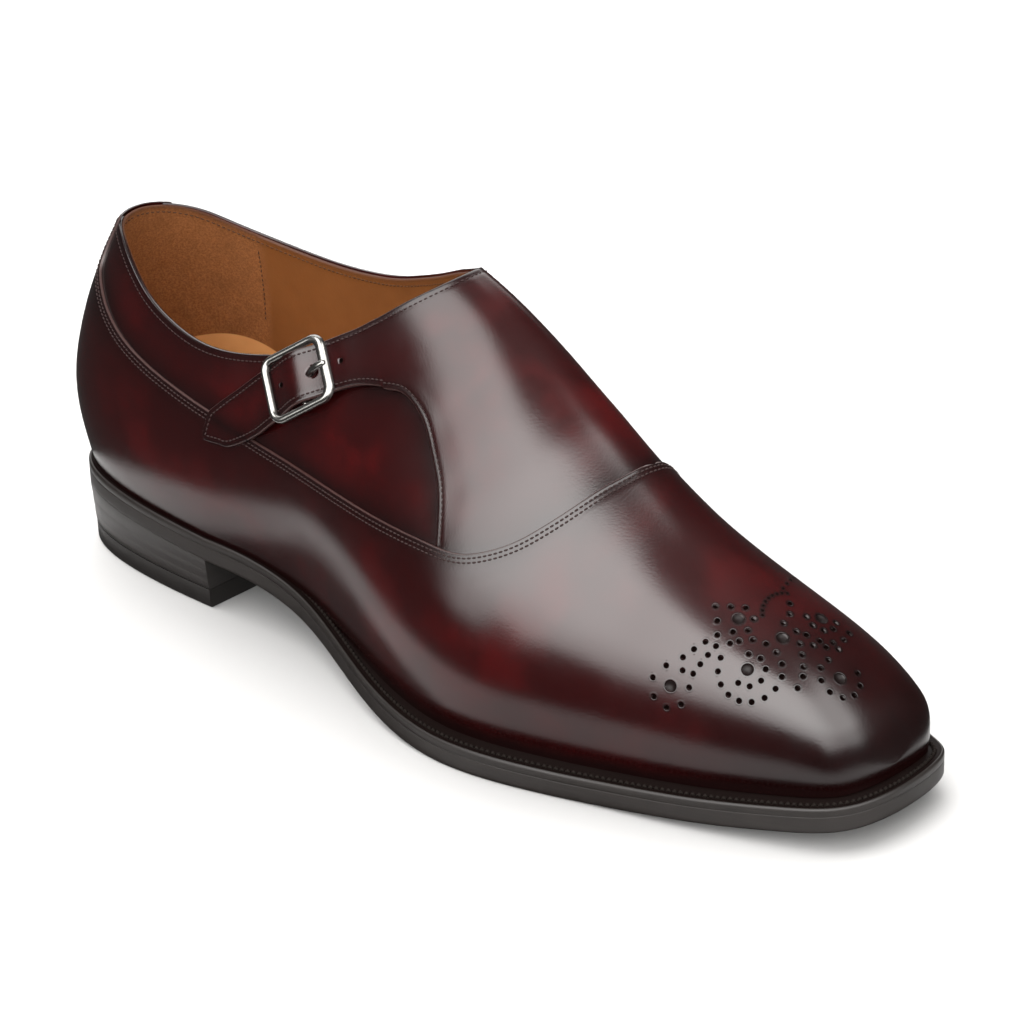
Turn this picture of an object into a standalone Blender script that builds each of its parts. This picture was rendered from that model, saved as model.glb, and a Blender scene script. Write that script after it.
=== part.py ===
"""A single monk dress shoe for the right foot, built piece by piece as closed solids.

x runs from the back of the heel to the toe, y from the outer (lateral) side to the inner (medial)
side, z up from the floor. Sizes are in millimetres and become metres where a mesh is made.
"""

from collections import namedtuple

import bmesh
import bpy
import numpy as np
from mathutils import Matrix

MM = 0.001
GAP = 0.3  # between pieces that meet

SOLE_LENGTH = 304.0
HEEL_LENGTH = 71.0
HEEL_HEIGHT = 19.7  # floor to the underside of the sole, at the back
HEEL_PITCH = 4.0  # how much lower the heel seat is at the breast
TOP_PIECE = 6.0
HEEL_TAPER = 2.0
BALL_BACK = 188.0  # the tread lies flat on the floor between these two places
BALL_FRONT = 222.0
TOE_SPRING = 6.0
OUTSOLE = 5.0
WELT_TOP = 7.5
FEATHER = 7.8  # underside of the sole to the lower edge of the upper
UPPER_WALL = 2.2  # leather and lining together
WELT_GRIP = 2.0  # how far the welt reaches in under the upper
INSOLE_TOP = 10.4
WELT_END = 60.0  # ring angle at which the welt gives way to the heel rand

Station = namedtuple(
    "Station",
    "angle lateral medial ledge bulge_out bulge_in box_out box_in lean crest_height crest_side",
)
# One row for each ring angle: 0 is the back of the heel, 90 the middle of the length, 180 the toe.
# lateral and medial are the sole's half widths, ledge the welt left bare beside the upper, bulge how
# far the upper swells past its lower edge, box how square its shoulder is, lean how far its wall
# comes in towards the top, and crest its top line.
STATIONS = (
    Station(0, 0.0, 0.0, 2.0, 3.8, 3.8, 0.0, 0.0, 10.0, 135.0, 0.0),
    Station(15, -17.0, 15.8, 1.8, 4.2, 4.4, -0.2, 0.1, 10.0, 134.5, 0.0),
    Station(30, -26.6, 26.8, 1.6, 4.6, 4.8, -0.5, 0.2, 8.0, 133.5, 0.0),
    Station(45, -31.0, 31.0, 1.6, 4.7, 4.5, -0.7, 0.3, 5.0, 132.0, 0.0),
    Station(60, -32.2, 30.2, 1.6, 4.9, 5.6, -0.8, 0.3, 2.5, 131.0, 0.2),
    Station(75, -34.6, 27.8, 2.2, 4.9, 8.0, -0.9, 0.0, 0.0, 128.0, 1.6),
    Station(90, -48.2, 31.2, 4.8, 4.9, 7.0, -0.9, -0.9, 0.0, 120.0, 2.2),
    Station(105, -54.5, 41.0, 6.6, 4.3, 4.2, -0.6, -1.9, 0.0, 100.5, 0.6),
    Station(120, -46.6, 45.0, 6.9, 3.3, 2.7, -0.15, -1.9, 0.0, 75.5, 1.0),
    Station(135, -38.0, 40.2, 6.8, 2.3, 1.8, 0.4, -1.1, 0.0, 57.5, 3.2),
    Station(150, -29.0, 31.2, 6.6, 1.7, 1.3, 0.8, -0.1, 0.0, 44.5, 4.2),
    Station(160, -23.2, 25.6, 6.4, 1.3, 1.2, 1.0, 0.5, 0.0, 36.0, 3.8),
    Station(170, -13.9, 18.4, 6.2, 0.8, 0.9, 1.1, 0.9, 0.0, 27.0, 3.4),
    Station(180, 1.7, 1.7, 6.2, 0.0, 0.0, 1.1, 1.1, 0.0, 17.0, 3.0),
)

Rib = namedtuple("Rib", "out inward up box_inward box_up lean")
# Control points of one side of a cross-section, from the lower edge to the crest: out is a share of
# the bulge, inward of the way to the crest and up of the height; the rest are shares of box and lean.
RIB = (
    Rib(0.0, 0.0, 0.0, 0.0, 0.0, 0.0),
    Rib(0.55, 0.0, 0.1, 0.0, 0.0, 0.0),
    Rib(1.1, 0.0, 0.27, 0.0, 0.02, 0.0),
    Rib(1.05, 0.02, 0.5, -0.02, 0.06, 0.5),
    Rib(0.55, 0.2, 0.76, -0.08, 0.12, 1.0),
    Rib(0.1, 0.58, 0.96, -0.1, 0.03, 0.8),
    Rib(0.0, 1.0, 1.0, 0.0, 0.0, 0.0),
)
CREST_LEAD = 26.0  # how far the crest starts in front of the back of the heel
RING_STEPS = 96
RIB_STEPS = 14

Topline = namedtuple("Topline", "x lateral medial")
TOPLINE = (
    Topline(-12.0, 104.5, 104.5),
    Topline(4.0, 104.2, 104.2),
    Topline(13.0, 103.0, 103.0),
    Topline(20.0, 100.9, 101.0),
    Topline(30.0, 96.2, 96.9),
    Topline(42.0, 90.4, 93.8),
    Topline(55.0, 86.4, 92.0),
    Topline(70.0, 84.0, 91.1),
    Topline(85.0, 84.9, 91.8),
    Topline(97.0, 87.4, 94.0),
    Topline(107.0, 90.4, 97.4),
    Topline(118.0, 95.4, 102.0),
    Topline(135.0, 106.8, 110.3),
    Topline(148.0, 116.0, 116.8),
    Topline(162.0, 127.0, 127.5),
)

BandRow = namedtuple("BandRow", "along top low lift")
# One row for each distance along the strap from the middle of the buckle, towards the toe: where its
# upper and lower edges lie across it, and how far its underside stands off the upper.
STRAP = (
    BandRow(28.0, 8.4, -12.4, 0.3),
    BandRow(22.0, 7.7, -9.6, 0.5),
    BandRow(16.0, 7.6, -8.1, 1.0),
    BandRow(10.6, 7.6, -7.6, 1.6),
    BandRow(5.0, 7.6, -7.6, 3.3),
    BandRow(0.0, 7.6, -7.6, 4.7),
    BandRow(-5.0, 7.6, -7.6, 3.3),
    BandRow(-10.6, 7.6, -7.6, 1.7),
    BandRow(-16.0, 7.5, -7.7, 1.6),
    BandRow(-22.0, 7.4, -7.9, 0.7),
    BandRow(-30.0, 6.6, -8.2, 0.3),
    BandRow(-36.0, 4.6, -7.2, 0.3),
    BandRow(-41.0, 1.3, -4.6, 0.3),
    BandRow(-44.4, -1.2, -1.8, 0.3),
)
STRAP_THICKNESS = 1.7
TAB = (
    BandRow(2.0, 6.6, -6.6, 0.3),
    BandRow(-8.0, 7.0, -7.0, 0.3),
    BandRow(-17.5, 6.8, -6.8, 0.3),
)
TAB_THICKNESS = 1.0

BUCKLE_ANGLE = 75.8  # where the middle of the buckle lies on the upper
BUCKLE_RISE = 0.625
BUCKLE_ALONG = (0.83, 0.2, 0.52)  # direction of the strap through it
BUCKLE_LENGTH = 23.4
BUCKLE_WIDTH = 20.4
BUCKLE_CORNER = 4.4
BUCKLE_BAR = 2.3
BUCKLE_THICKNESS = 1.8
BUCKLE_EDGE = 0.45  # rounding of its edges
BUCKLE_LIFT = 5.0  # middle of the frame above the upper
PIN_RADIUS = 0.8
PIN_DROP = 1.4  # centre bar below the middle of the frame
PRONG_RADIUS = 0.65


def clear_scene():
    for obj in list(bpy.data.objects):
        bpy.data.objects.remove(obj, do_unlink=True)


def new_collection(name):
    collection = bpy.data.collections.new(name)
    bpy.context.scene.collection.children.link(collection)
    return collection


def new_material(name, colour, roughness, metallic=0.0):
    made = bpy.data.materials.new(name)
    made.use_nodes = True
    shader = made.node_tree.nodes["Principled BSDF"]
    shader.inputs["Base Color"].default_value = (*colour, 1.0)
    shader.inputs["Roughness"].default_value = roughness
    shader.inputs["Metallic"].default_value = metallic
    return made


def spline(knots, values, period=None):
    """A cubic spline through the values, closed on itself when a period is given."""
    x = np.asarray(knots, float)
    y = np.asarray(values, float)
    count = len(x)
    if period:
        x = np.append(x, x[0] + period)
        y = np.append(y, y[0])
    span = np.diff(x)
    slope = np.diff(y) / span
    system = np.zeros((count, count))
    target = np.zeros(count)
    for i in range(count):
        if not period and i in (0, count - 1):
            system[i, i] = 1.0
            continue
        system[i, i - 1] += span[i - 1]
        system[i, i] += 2 * (span[i - 1] + span[i])
        system[i, (i + 1) % count] += span[i]
        target[i] = 6 * (slope[i] - slope[i - 1])
    bend = np.linalg.solve(system, target)
    if period:
        bend = np.append(bend, bend[0])

    def value(at):
        at = np.asarray(at, float)
        if period:
            at = x[0] + (at - x[0]) % period
        i = np.clip(np.searchsorted(x, at, side="right") - 1, 0, len(span) - 1)
        left = (x[i + 1] - at) / span[i]
        right = (at - x[i]) / span[i]
        sag = (left**3 - left) * bend[i] + (right**3 - right) * bend[i + 1]
        return left * y[i] + right * y[i + 1] + sag * span[i] ** 2 / 6

    return value


def ring_curve(outer, inner):
    """A closed curve round the shoe: column outer at the positive ring angles, inner at the negative."""
    back_to_toe = list(STATIONS)
    toe_to_back = back_to_toe[-2:0:-1]
    knots = [-row.angle for row in toe_to_back] + [row.angle for row in back_to_toe]
    values = [getattr(row, inner) for row in toe_to_back]
    values += [getattr(row, outer) for row in back_to_toe]
    return spline(knots, values, 360.0)


side_line = ring_curve("lateral", "medial")
ledge = ring_curve("ledge", "ledge")
bulge = ring_curve("bulge_out", "bulge_in")
box = ring_curve("box_out", "box_in")
lean = ring_curve("lean", "lean")
crest_height = ring_curve("crest_height", "crest_height")
crest_side = ring_curve("crest_side", "crest_side")


def smooth_step(value, start, end):
    share = np.clip((value - start) / (end - start), 0, 1)
    return share * share * (3 - 2 * share)


def outline(angle, inset=0.0):
    """Points of the sole's outline at these ring angles, moved in by inset, and the outward directions."""

    def edge(at):
        return np.stack([SOLE_LENGTH * (1 - np.cos(np.radians(at))) / 2, side_line(at)], -1)

    along = edge(angle + 0.25) - edge(angle - 0.25)
    along /= np.linalg.norm(along, axis=-1, keepdims=True)
    out = np.stack([along[..., 1], -along[..., 0]], -1)
    return edge(angle) - out * np.asarray(inset)[..., None], out


def sole_bottom(x):
    """Height of the sole's underside: heel seat, waist falling to the flat tread, then toe spring."""
    seat = HEEL_HEIGHT - HEEL_PITCH * np.clip(x / HEEL_LENGTH, 0, 1)
    waist_start = HEEL_LENGTH + 4
    waist = 0.5 + 0.5 * np.cos(np.pi * np.clip((x - waist_start) / (BALL_BACK - waist_start), 0, 1))
    toe = np.clip((x - BALL_FRONT) / (SOLE_LENGTH - BALL_FRONT), 0, None)
    return seat * waist + TOE_SPRING * toe**1.5


def rib_points(angle):
    """Control points of the upper's section on the side of each ring angle."""
    turn = np.abs((angle + 180) % 360 - 180)
    foot, out = outline(angle, ledge(angle))
    across, _ = outline(-angle, ledge(angle))
    start = sole_bottom(foot[..., 0]) + FEATHER
    out = out * np.stack([1 - smooth_step(turn, 60, 120), np.ones_like(turn)], -1)
    lead = CREST_LEAD * (0.5 + 0.5 * np.cos(np.pi * np.clip(turn / 80, 0, 1)))
    crest_x = (foot[..., 0] + across[..., 0]) / 2 + lead
    crest = np.stack([crest_x, crest_side(turn)], -1)
    height = crest_height(turn) - start
    points = []
    for rib in RIB:
        inward = rib.inward + rib.box_inward * box(angle)
        up = rib.up + rib.box_up * box(angle)
        swell = rib.out * bulge(angle) - rib.lean * lean(angle)
        place = foot + inward[..., None] * (crest - foot) + swell[..., None] * out
        points.append(np.concatenate([place, (start + up * height)[..., None]], -1))
    return points


def upper_surface(angle, rise):
    """Outside of the upper: a uniform cubic B-spline up each rib, rise 0 at the welt and 1 at the crest."""
    angle, rise = np.broadcast_arrays(np.asarray(angle, float), np.asarray(rise, float))
    own = rib_points(angle)
    other = rib_points(-angle)
    control = np.stack([2 * own[0] - own[1], *own, other[5], other[4], other[3]])
    span = np.clip(np.floor(rise * 6), 0, 6).astype(int)
    u = rise * 6 - span
    weights = ((1 - u) ** 3, 3 * u**3 - 6 * u**2 + 4, -3 * u**3 + 3 * u**2 + 3 * u + 1, u**3)
    total = 0
    for k, weight in enumerate(weights):
        chosen = np.take_along_axis(control, (span + k)[None, ..., None], 0)[0]
        total = total + chosen * (weight / 6)[..., None]
    return total


def upper_normal(angle, rise):
    """Outward direction, from the cross product of small steps along and up the surface."""
    angle, rise = np.broadcast_arrays(np.asarray(angle, float), np.asarray(rise, float))
    along = upper_surface(angle + 0.5, rise) - upper_surface(angle - 0.5, rise)
    up = upper_surface(angle, rise + 0.004) - upper_surface(angle, rise - 0.004)
    out = np.cross(along, up)
    return out / np.linalg.norm(out, axis=-1, keepdims=True)


def lifted(angle, rise, lift):
    return upper_surface(angle, rise) + upper_normal(angle, rise) * np.asarray(lift)[..., None]


def new_object(name, points, faces, collection, material, smooth=True):
    """A mesh object from points in millimetres, merged where they coincide, with its faces turned out."""
    mesh = bpy.data.meshes.new(name)
    mesh.from_pydata([tuple(point) for point in np.asarray(points) * MM], [], faces)
    work = bmesh.new()
    work.from_mesh(mesh)
    bmesh.ops.remove_doubles(work, verts=work.verts, dist=1e-6)
    bmesh.ops.recalc_face_normals(work, faces=work.faces)
    work.to_mesh(mesh)
    work.free()
    obj = bpy.data.objects.new(name, mesh)
    collection.objects.link(obj)
    if material:
        mesh.materials.append(material)
    if smooth:
        mesh.shade_smooth()
        mesh.set_sharp_from_angle(angle=np.radians(35))
    return obj


def loft(loops, closed=False):
    """Points and faces of a skin over closed loops of one length, capped at its ends unless it closes."""
    count = len(loops[0])
    faces = []
    for i in range(len(loops) if closed else len(loops) - 1):
        here = i * count
        there = (i + 1) % len(loops) * count
        for j in range(count):
            k = (j + 1) % count
            faces.append((here + j, here + k, there + k, there + j))
    if not closed:
        last = (len(loops) - 1) * count
        faces.append(tuple(range(count)))
        faces.append(tuple(range(last, last + count)))
    return np.concatenate(loops), faces


def ring_angles():
    return np.linspace(-180, 180, RING_STEPS + 1)[1:]


def level_ring(angle, inset, height):
    """The outline at one inset, at a height above the underside of the sole."""
    place, _ = outline(angle, inset)
    return np.column_stack([place, sole_bottom(place[:, 0]) + height])


def slab(name, levels, collection, material):
    """A plate over the whole outline, as rings of (inset, height) with a ladder of faces at each end."""
    angle = ring_angles()
    rings = [level_ring(angle, inset + 0 * angle, height) for inset, height in levels]
    points, faces = loft(rings)
    del faces[-2:]
    half = RING_STEPS // 2
    for start in (0, (len(rings) - 1) * RING_STEPS):
        lateral = [start + half - 1 + i for i in range(half + 1)]
        medial = [start + (half - 1 - i) % RING_STEPS for i in range(half + 1)]
        for i in range(half):
            face = [lateral[i], lateral[i + 1], medial[i + 1], medial[i]]
            faces.append(tuple(dict.fromkeys(face)))
    return new_object(name, points, faces, collection, material)


def make_outsole(collection, material):
    levels = ((0.7, 0.0), (0.0, 0.7), (0.0, OUTSOLE - 0.3), (0.3, OUTSOLE))
    return slab("outsole", levels, collection, material)


def make_insole(collection, material):
    inset = ledge(ring_angles()) + UPPER_WALL + 0.4
    levels = ((inset, OUTSOLE + GAP), (inset, INSOLE_TOP - 0.6), (inset + 0.6, INSOLE_TOP))
    return slab("insole", levels, collection, material)


def make_edge_strip(name, angle, top, collection, material):
    """The strip between the outsole and the upper, its section carried along these ring angles."""
    reach = ledge(angle) + WELT_GRIP
    low = OUTSOLE + GAP
    section = ((0.4, low), (0.0, low + 0.4), (0.0, top - 0.5), (0.5, top), (reach, top), (reach, low))
    rings = [level_ring(angle, inset + 0 * angle, height) for inset, height in section]
    loops = [np.array([ring[i] for ring in rings]) for i in range(len(angle))]
    points, faces = loft(loops)
    return new_object(name, points, faces, collection, material)


def make_heel_piece(name, levels, collection, material):
    """A heel lift: the outline's back part, closed by a flat breast, through (inset, height at x)."""
    breast = np.degrees(np.arccos(1 - 2 * HEEL_LENGTH / SOLE_LENGTH))
    angle = np.linspace(-breast, breast, 45)
    loops = []
    for inset, height in levels:
        place, _ = outline(angle, inset + 0 * angle)
        place[[0, -1], 0] = HEEL_LENGTH
        loops.append(np.column_stack([place, height(place[:, 0])]))
    points, faces = loft(loops)
    return new_object(name, points, faces, collection, material)


def make_heel(collection, lift_material, tread_material):
    def level(height):
        return lambda x: height + 0 * x

    def seat(x):
        return sole_bottom(x) - GAP

    def waist(x):
        return (TOP_PIECE + seat(x)) / 2

    tread = ((HEEL_TAPER + 0.4, level(0.0)), (HEEL_TAPER, level(0.4)), (HEEL_TAPER - 0.1, level(TOP_PIECE)))
    stack = ((HEEL_TAPER - 0.2, level(TOP_PIECE + GAP)), (HEEL_TAPER - 0.6, waist), (0.6, seat))
    make_heel_piece("heel_top_piece", tread, collection, tread_material)
    make_heel_piece("heel_stack", stack, collection, lift_material)


def make_topline_cutter(collection):
    """A block whose underside follows the topline, blended from the lateral to the medial height."""
    rows = np.array(TOPLINE)
    lateral = spline(rows[:, 0], rows[:, 1])
    medial = spline(rows[:, 0], rows[:, 2])
    x = np.linspace(rows[0, 0], rows[-1, 0], 56)
    y = np.array([-70, -18, -12, -6, 0, 6, 12, 18, 70.0])
    share = smooth_step(y, -18, 18)[None]
    low = lateral(x)[:, None] * (1 - share) + medial(x)[:, None] * share
    loops = []
    for i, station in enumerate(x):
        under = [(station, side, height) for side, height in zip(y, low[i])]
        loops.append(np.array([*under, (station, y[-1], 180.0), (station, y[0], 180.0)]))
    points, faces = loft(loops)
    cutter = new_object("topline_cutter", points, faces, collection, None, smooth=False)
    cutter.hide_render = True
    cutter.display_type = "WIRE"
    return cutter


def make_upper(collection, cutters, material):
    """The shell over the last: one wall, open underneath and cut off along the topline."""
    angle = ring_angles()
    rise = np.linspace(0, 1, RIB_STEPS + 1)
    points = upper_surface(angle[:, None], rise[None]).reshape(-1, 3)
    faces = []
    for i in range(RING_STEPS):
        here = i * (RIB_STEPS + 1)
        there = (i + 1) % RING_STEPS * (RIB_STEPS + 1)
        for j in range(RIB_STEPS):
            faces.append((here + j, there + j, there + j + 1, here + j + 1))
    upper = new_object("upper", points, faces, collection, material)
    wall = upper.modifiers.new("wall", "SOLIDIFY")
    wall.thickness = UPPER_WALL * MM
    wall.offset = -1.0
    wall.use_quality_normals = True
    cut = upper.modifiers.new("topline", "BOOLEAN")
    cut.operation = "DIFFERENCE"
    cut.solver = "EXACT"
    cut.object = make_topline_cutter(cutters)
    return upper


def buckle_axes():
    """Middle of the buckle and its directions: along the strap, across it and up, and off the upper."""
    out = upper_normal(BUCKLE_ANGLE, BUCKLE_RISE)
    along = np.array(BUCKLE_ALONG)
    along -= out * along.dot(out)
    along /= np.linalg.norm(along)
    middle = lifted(BUCKLE_ANGLE, BUCKLE_RISE, BUCKLE_LIFT)
    return middle, along, np.cross(out, along), out


def on_upper(along, across, lift):
    """Points over these places of the buckle's plane: Newton steps find the ring angle and rise below."""
    middle, side_x, side_y, _ = buckle_axes()
    aim = np.stack([along, across], -1)
    plane = np.stack([side_x, side_y], -1)
    place = np.zeros(aim.shape) + (BUCKLE_ANGLE, BUCKLE_RISE)
    for _ in range(12):
        angle, rise = place[..., 0], place[..., 1]
        here = (upper_surface(angle, rise) - middle) @ plane
        by_angle = ((upper_surface(angle + 0.01, rise) - middle) @ plane - here) / 0.01
        by_rise = ((upper_surface(angle, rise + 0.0001) - middle) @ plane - here) / 0.0001
        slopes = np.stack([by_angle, by_rise], -1)
        place += np.linalg.solve(slopes, (aim - here)[..., None])[..., 0]
    return lifted(place[..., 0], place[..., 1], lift)


def make_band(name, table, thickness, rows, columns, collection, material):
    """A strap laid over the upper: the table gives its edges and lift, and it has one thickness."""
    table = np.array(table)
    row = np.linspace(0, len(table) - 1, rows)[:, None]
    along, top, low, lift = (spline(np.arange(len(table)), column)(row) for column in table.T)
    across = top + np.linspace(0, 1, columns)[None] * (low - top)
    along = along + 0 * across
    lift = np.maximum(lift, GAP) + 0 * across
    under = on_upper(along, across, lift)
    over = on_upper(along, across, lift + thickness)
    points, faces = loft(list(np.concatenate([under, over[:, ::-1]], 1)))
    return new_object(name, points, faces, collection, material)


def buckle_matrix():
    middle, along, across, out = buckle_axes()
    turned = Matrix(np.column_stack([along, across, out]).tolist()).to_4x4()
    return Matrix.Translation((middle * MM).tolist()) @ turned


def rounded_rectangle(length, width, corner, arc_steps=6):
    """Corner points of a rectangle with round corners, in order round it."""
    turn = np.linspace(0, np.pi / 2, arc_steps + 1)
    points = []
    for quarter, (side_x, side_y) in enumerate(((1, 1), (-1, 1), (-1, -1), (1, -1))):
        angle = turn + quarter * np.pi / 2
        x = side_x * (length / 2 - corner) + corner * np.cos(angle)
        y = side_y * (width / 2 - corner) + corner * np.sin(angle)
        points += list(zip(x, y))
    return points


def mesh_from_curve(obj, collection, material):
    """The curve's own shape as a mesh object of the same name and place; the curve is removed."""
    bpy.context.view_layer.update()
    graph = bpy.context.evaluated_depsgraph_get()
    mesh = bpy.data.meshes.new_from_object(obj.evaluated_get(graph))
    work = bmesh.new()
    work.from_mesh(mesh)
    bmesh.ops.remove_doubles(work, verts=work.verts, dist=1e-6)
    bmesh.ops.recalc_face_normals(work, faces=work.faces)
    work.to_mesh(mesh)
    work.free()
    mesh.materials.clear()
    mesh.materials.append(material)
    name = obj.name
    place = obj.matrix_world.copy()
    bpy.data.objects.remove(obj, do_unlink=True)
    made = bpy.data.objects.new(name, mesh)
    made.matrix_world = place
    collection.objects.link(made)
    mesh.shade_smooth()
    mesh.set_sharp_from_angle(angle=np.radians(40))
    return made


def make_buckle_frame(collection, cutters, material, place):
    """A flat rounded frame with bevelled edges and, joined to it, the round bar across its middle."""
    flat = bpy.data.curves.new("buckle_frame", "CURVE")
    flat.dimensions = "2D"
    flat.fill_mode = "BOTH"
    flat.extrude = (BUCKLE_THICKNESS / 2 - BUCKLE_EDGE) * MM
    flat.bevel_depth = BUCKLE_EDGE * MM
    flat.bevel_resolution = 1
    for shrink in (BUCKLE_EDGE, BUCKLE_BAR - BUCKLE_EDGE):
        corner = BUCKLE_CORNER - shrink
        shape = rounded_rectangle(BUCKLE_LENGTH - 2 * shrink, BUCKLE_WIDTH - 2 * shrink, corner)
        line = flat.splines.new("POLY")
        line.points.add(len(shape) - 1)
        for point, (x, y) in zip(line.points, shape):
            point.co = (x * MM, y * MM, 0.0, 1.0)
        line.use_cyclic_u = True
    frame = bpy.data.objects.new("buckle_frame", flat)
    collection.objects.link(frame)
    frame = mesh_from_curve(frame, collection, material)
    frame.matrix_world = place
    reach = BUCKLE_WIDTH - 2 * 0.6
    bpy.ops.mesh.primitive_cylinder_add(vertices=16, radius=PIN_RADIUS * MM, depth=reach * MM)
    pin = bpy.context.object
    pin.name = "buckle_pin"
    for owner in list(pin.users_collection):
        owner.objects.unlink(pin)
    cutters.objects.link(pin)
    lying = Matrix.Translation((0, 0, -PIN_DROP * MM)) @ Matrix.Rotation(np.pi / 2, 4, "X")
    pin.matrix_world = place @ lying
    pin.hide_render = True
    pin.display_type = "WIRE"
    join = frame.modifiers.new("centre bar", "BOOLEAN")
    join.operation = "UNION"
    join.solver = "EXACT"
    join.object = pin
    return frame


def make_prong(name, radius, collection, material, place):
    """A tapering rod from beside the centre bar, up through the strap, to rest on the front bar."""
    rest = BUCKLE_THICKNESS / 2 + GAP + PRONG_RADIUS
    route = ((1.9, -1.3), (3.3, -1.0), (5.0, -0.1), (7.0, 0.95), (9.0, rest), (11.6, rest + 0.1))
    rod = bpy.data.curves.new(name, "CURVE")
    rod.dimensions = "3D"
    rod.bevel_depth = radius * MM
    rod.bevel_resolution = 2
    rod.use_fill_caps = True
    line = rod.splines.new("POLY")
    line.points.add(len(route) - 1)
    for i, (point, (along, up)) in enumerate(zip(line.points, route)):
        point.co = (along * MM, 0.0, up * MM, 1.0)
        point.radius = 1.0 - 0.06 * i
    obj = bpy.data.objects.new(name, rod)
    collection.objects.link(obj)
    obj.matrix_world = place
    return mesh_from_curve(obj, collection, material)


def make_strap(collection, cutters, leather, metal):
    """The strap, its buckle, the slot that the prong comes up through, and the tab under the buckle."""
    place = buckle_matrix()
    strap = make_band("monk_strap", STRAP, STRAP_THICKNESS, 40, 7, collection, leather)
    make_band("buckle_tab", TAB, TAB_THICKNESS, 7, 5, collection, leather)
    make_buckle_frame(collection, cutters, metal, place)
    make_prong("buckle_prong", PRONG_RADIUS, collection, metal, place)
    slot = make_prong("prong_slot", PRONG_RADIUS + 0.4, cutters, metal, place)
    slot.hide_render = True
    slot.display_type = "WIRE"
    cut = strap.modifiers.new("prong slot", "BOOLEAN")
    cut.operation = "DIFFERENCE"
    cut.solver = "EXACT"
    cut.object = slot


def stand_on_origin(collection, cutters):
    """Parents every piece to one empty, moved so that the shoe's box is centred over the origin."""
    bpy.context.view_layer.update()
    graph = bpy.context.evaluated_depsgraph_get()
    lowest = np.full(3, np.inf)
    highest = np.full(3, -np.inf)
    for obj in collection.objects:
        made = obj.evaluated_get(graph)
        corners = np.array([tuple(made.matrix_world @ vertex.co) for vertex in made.data.vertices])
        lowest = np.minimum(lowest, corners.min(0))
        highest = np.maximum(highest, corners.max(0))
    middle = (lowest + highest) / 2
    base = bpy.data.objects.new("shoe_origin", None)
    for obj in [*collection.objects, *cutters.objects]:
        obj.parent = base
    collection.objects.link(base)
    base.location = (-middle[0], -middle[1], -lowest[2])


def main():
    clear_scene()
    pieces = new_collection("single_monk_shoe")
    cutters = new_collection("cutters")
    burgundy = new_material("burgundy_calf", (0.075, 0.012, 0.012), 0.28)
    edge_black = new_material("burnished_edge", (0.015, 0.011, 0.01), 0.4)
    heel_black = new_material("heel_leather", (0.012, 0.01, 0.009), 0.35)
    tread = new_material("sole_leather", (0.02, 0.015, 0.012), 0.55)
    tan = new_material("tan_lining", (0.42, 0.2, 0.08), 0.6)
    nickel = new_material("polished_nickel", (0.75, 0.73, 0.7), 0.15, 1.0)
    make_outsole(pieces, tread)
    front = np.linspace(WELT_END, 360 - WELT_END, 65)
    back = np.linspace(-WELT_END + 0.6, WELT_END - 0.6, 33)
    make_edge_strip("welt", front, WELT_TOP, pieces, edge_black)
    make_edge_strip("heel_rand", back, WELT_TOP, pieces, edge_black)
    make_heel(pieces, heel_black, tread)
    make_insole(pieces, tan)
    make_upper(pieces, cutters, burgundy)
    make_strap(pieces, cutters, burgundy, nickel)
    stand_on_origin(pieces, cutters)


main()
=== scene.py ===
import bpy
import numpy as np
from mathutils import Matrix, Vector


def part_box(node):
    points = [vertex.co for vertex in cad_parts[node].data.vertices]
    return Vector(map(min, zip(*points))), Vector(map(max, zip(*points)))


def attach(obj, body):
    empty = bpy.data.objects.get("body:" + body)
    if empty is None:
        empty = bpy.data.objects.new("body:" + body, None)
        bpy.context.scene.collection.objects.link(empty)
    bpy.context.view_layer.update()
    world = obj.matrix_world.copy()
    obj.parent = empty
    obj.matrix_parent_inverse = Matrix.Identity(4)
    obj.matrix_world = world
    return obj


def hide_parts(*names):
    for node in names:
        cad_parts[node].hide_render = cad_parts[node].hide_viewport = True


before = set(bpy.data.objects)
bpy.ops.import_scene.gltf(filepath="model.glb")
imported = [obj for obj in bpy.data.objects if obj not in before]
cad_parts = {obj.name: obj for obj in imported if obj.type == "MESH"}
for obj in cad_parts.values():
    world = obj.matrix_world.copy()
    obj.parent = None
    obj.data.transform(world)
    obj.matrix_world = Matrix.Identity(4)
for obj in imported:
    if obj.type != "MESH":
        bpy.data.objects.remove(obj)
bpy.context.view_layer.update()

millimetre = 0.001

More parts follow.
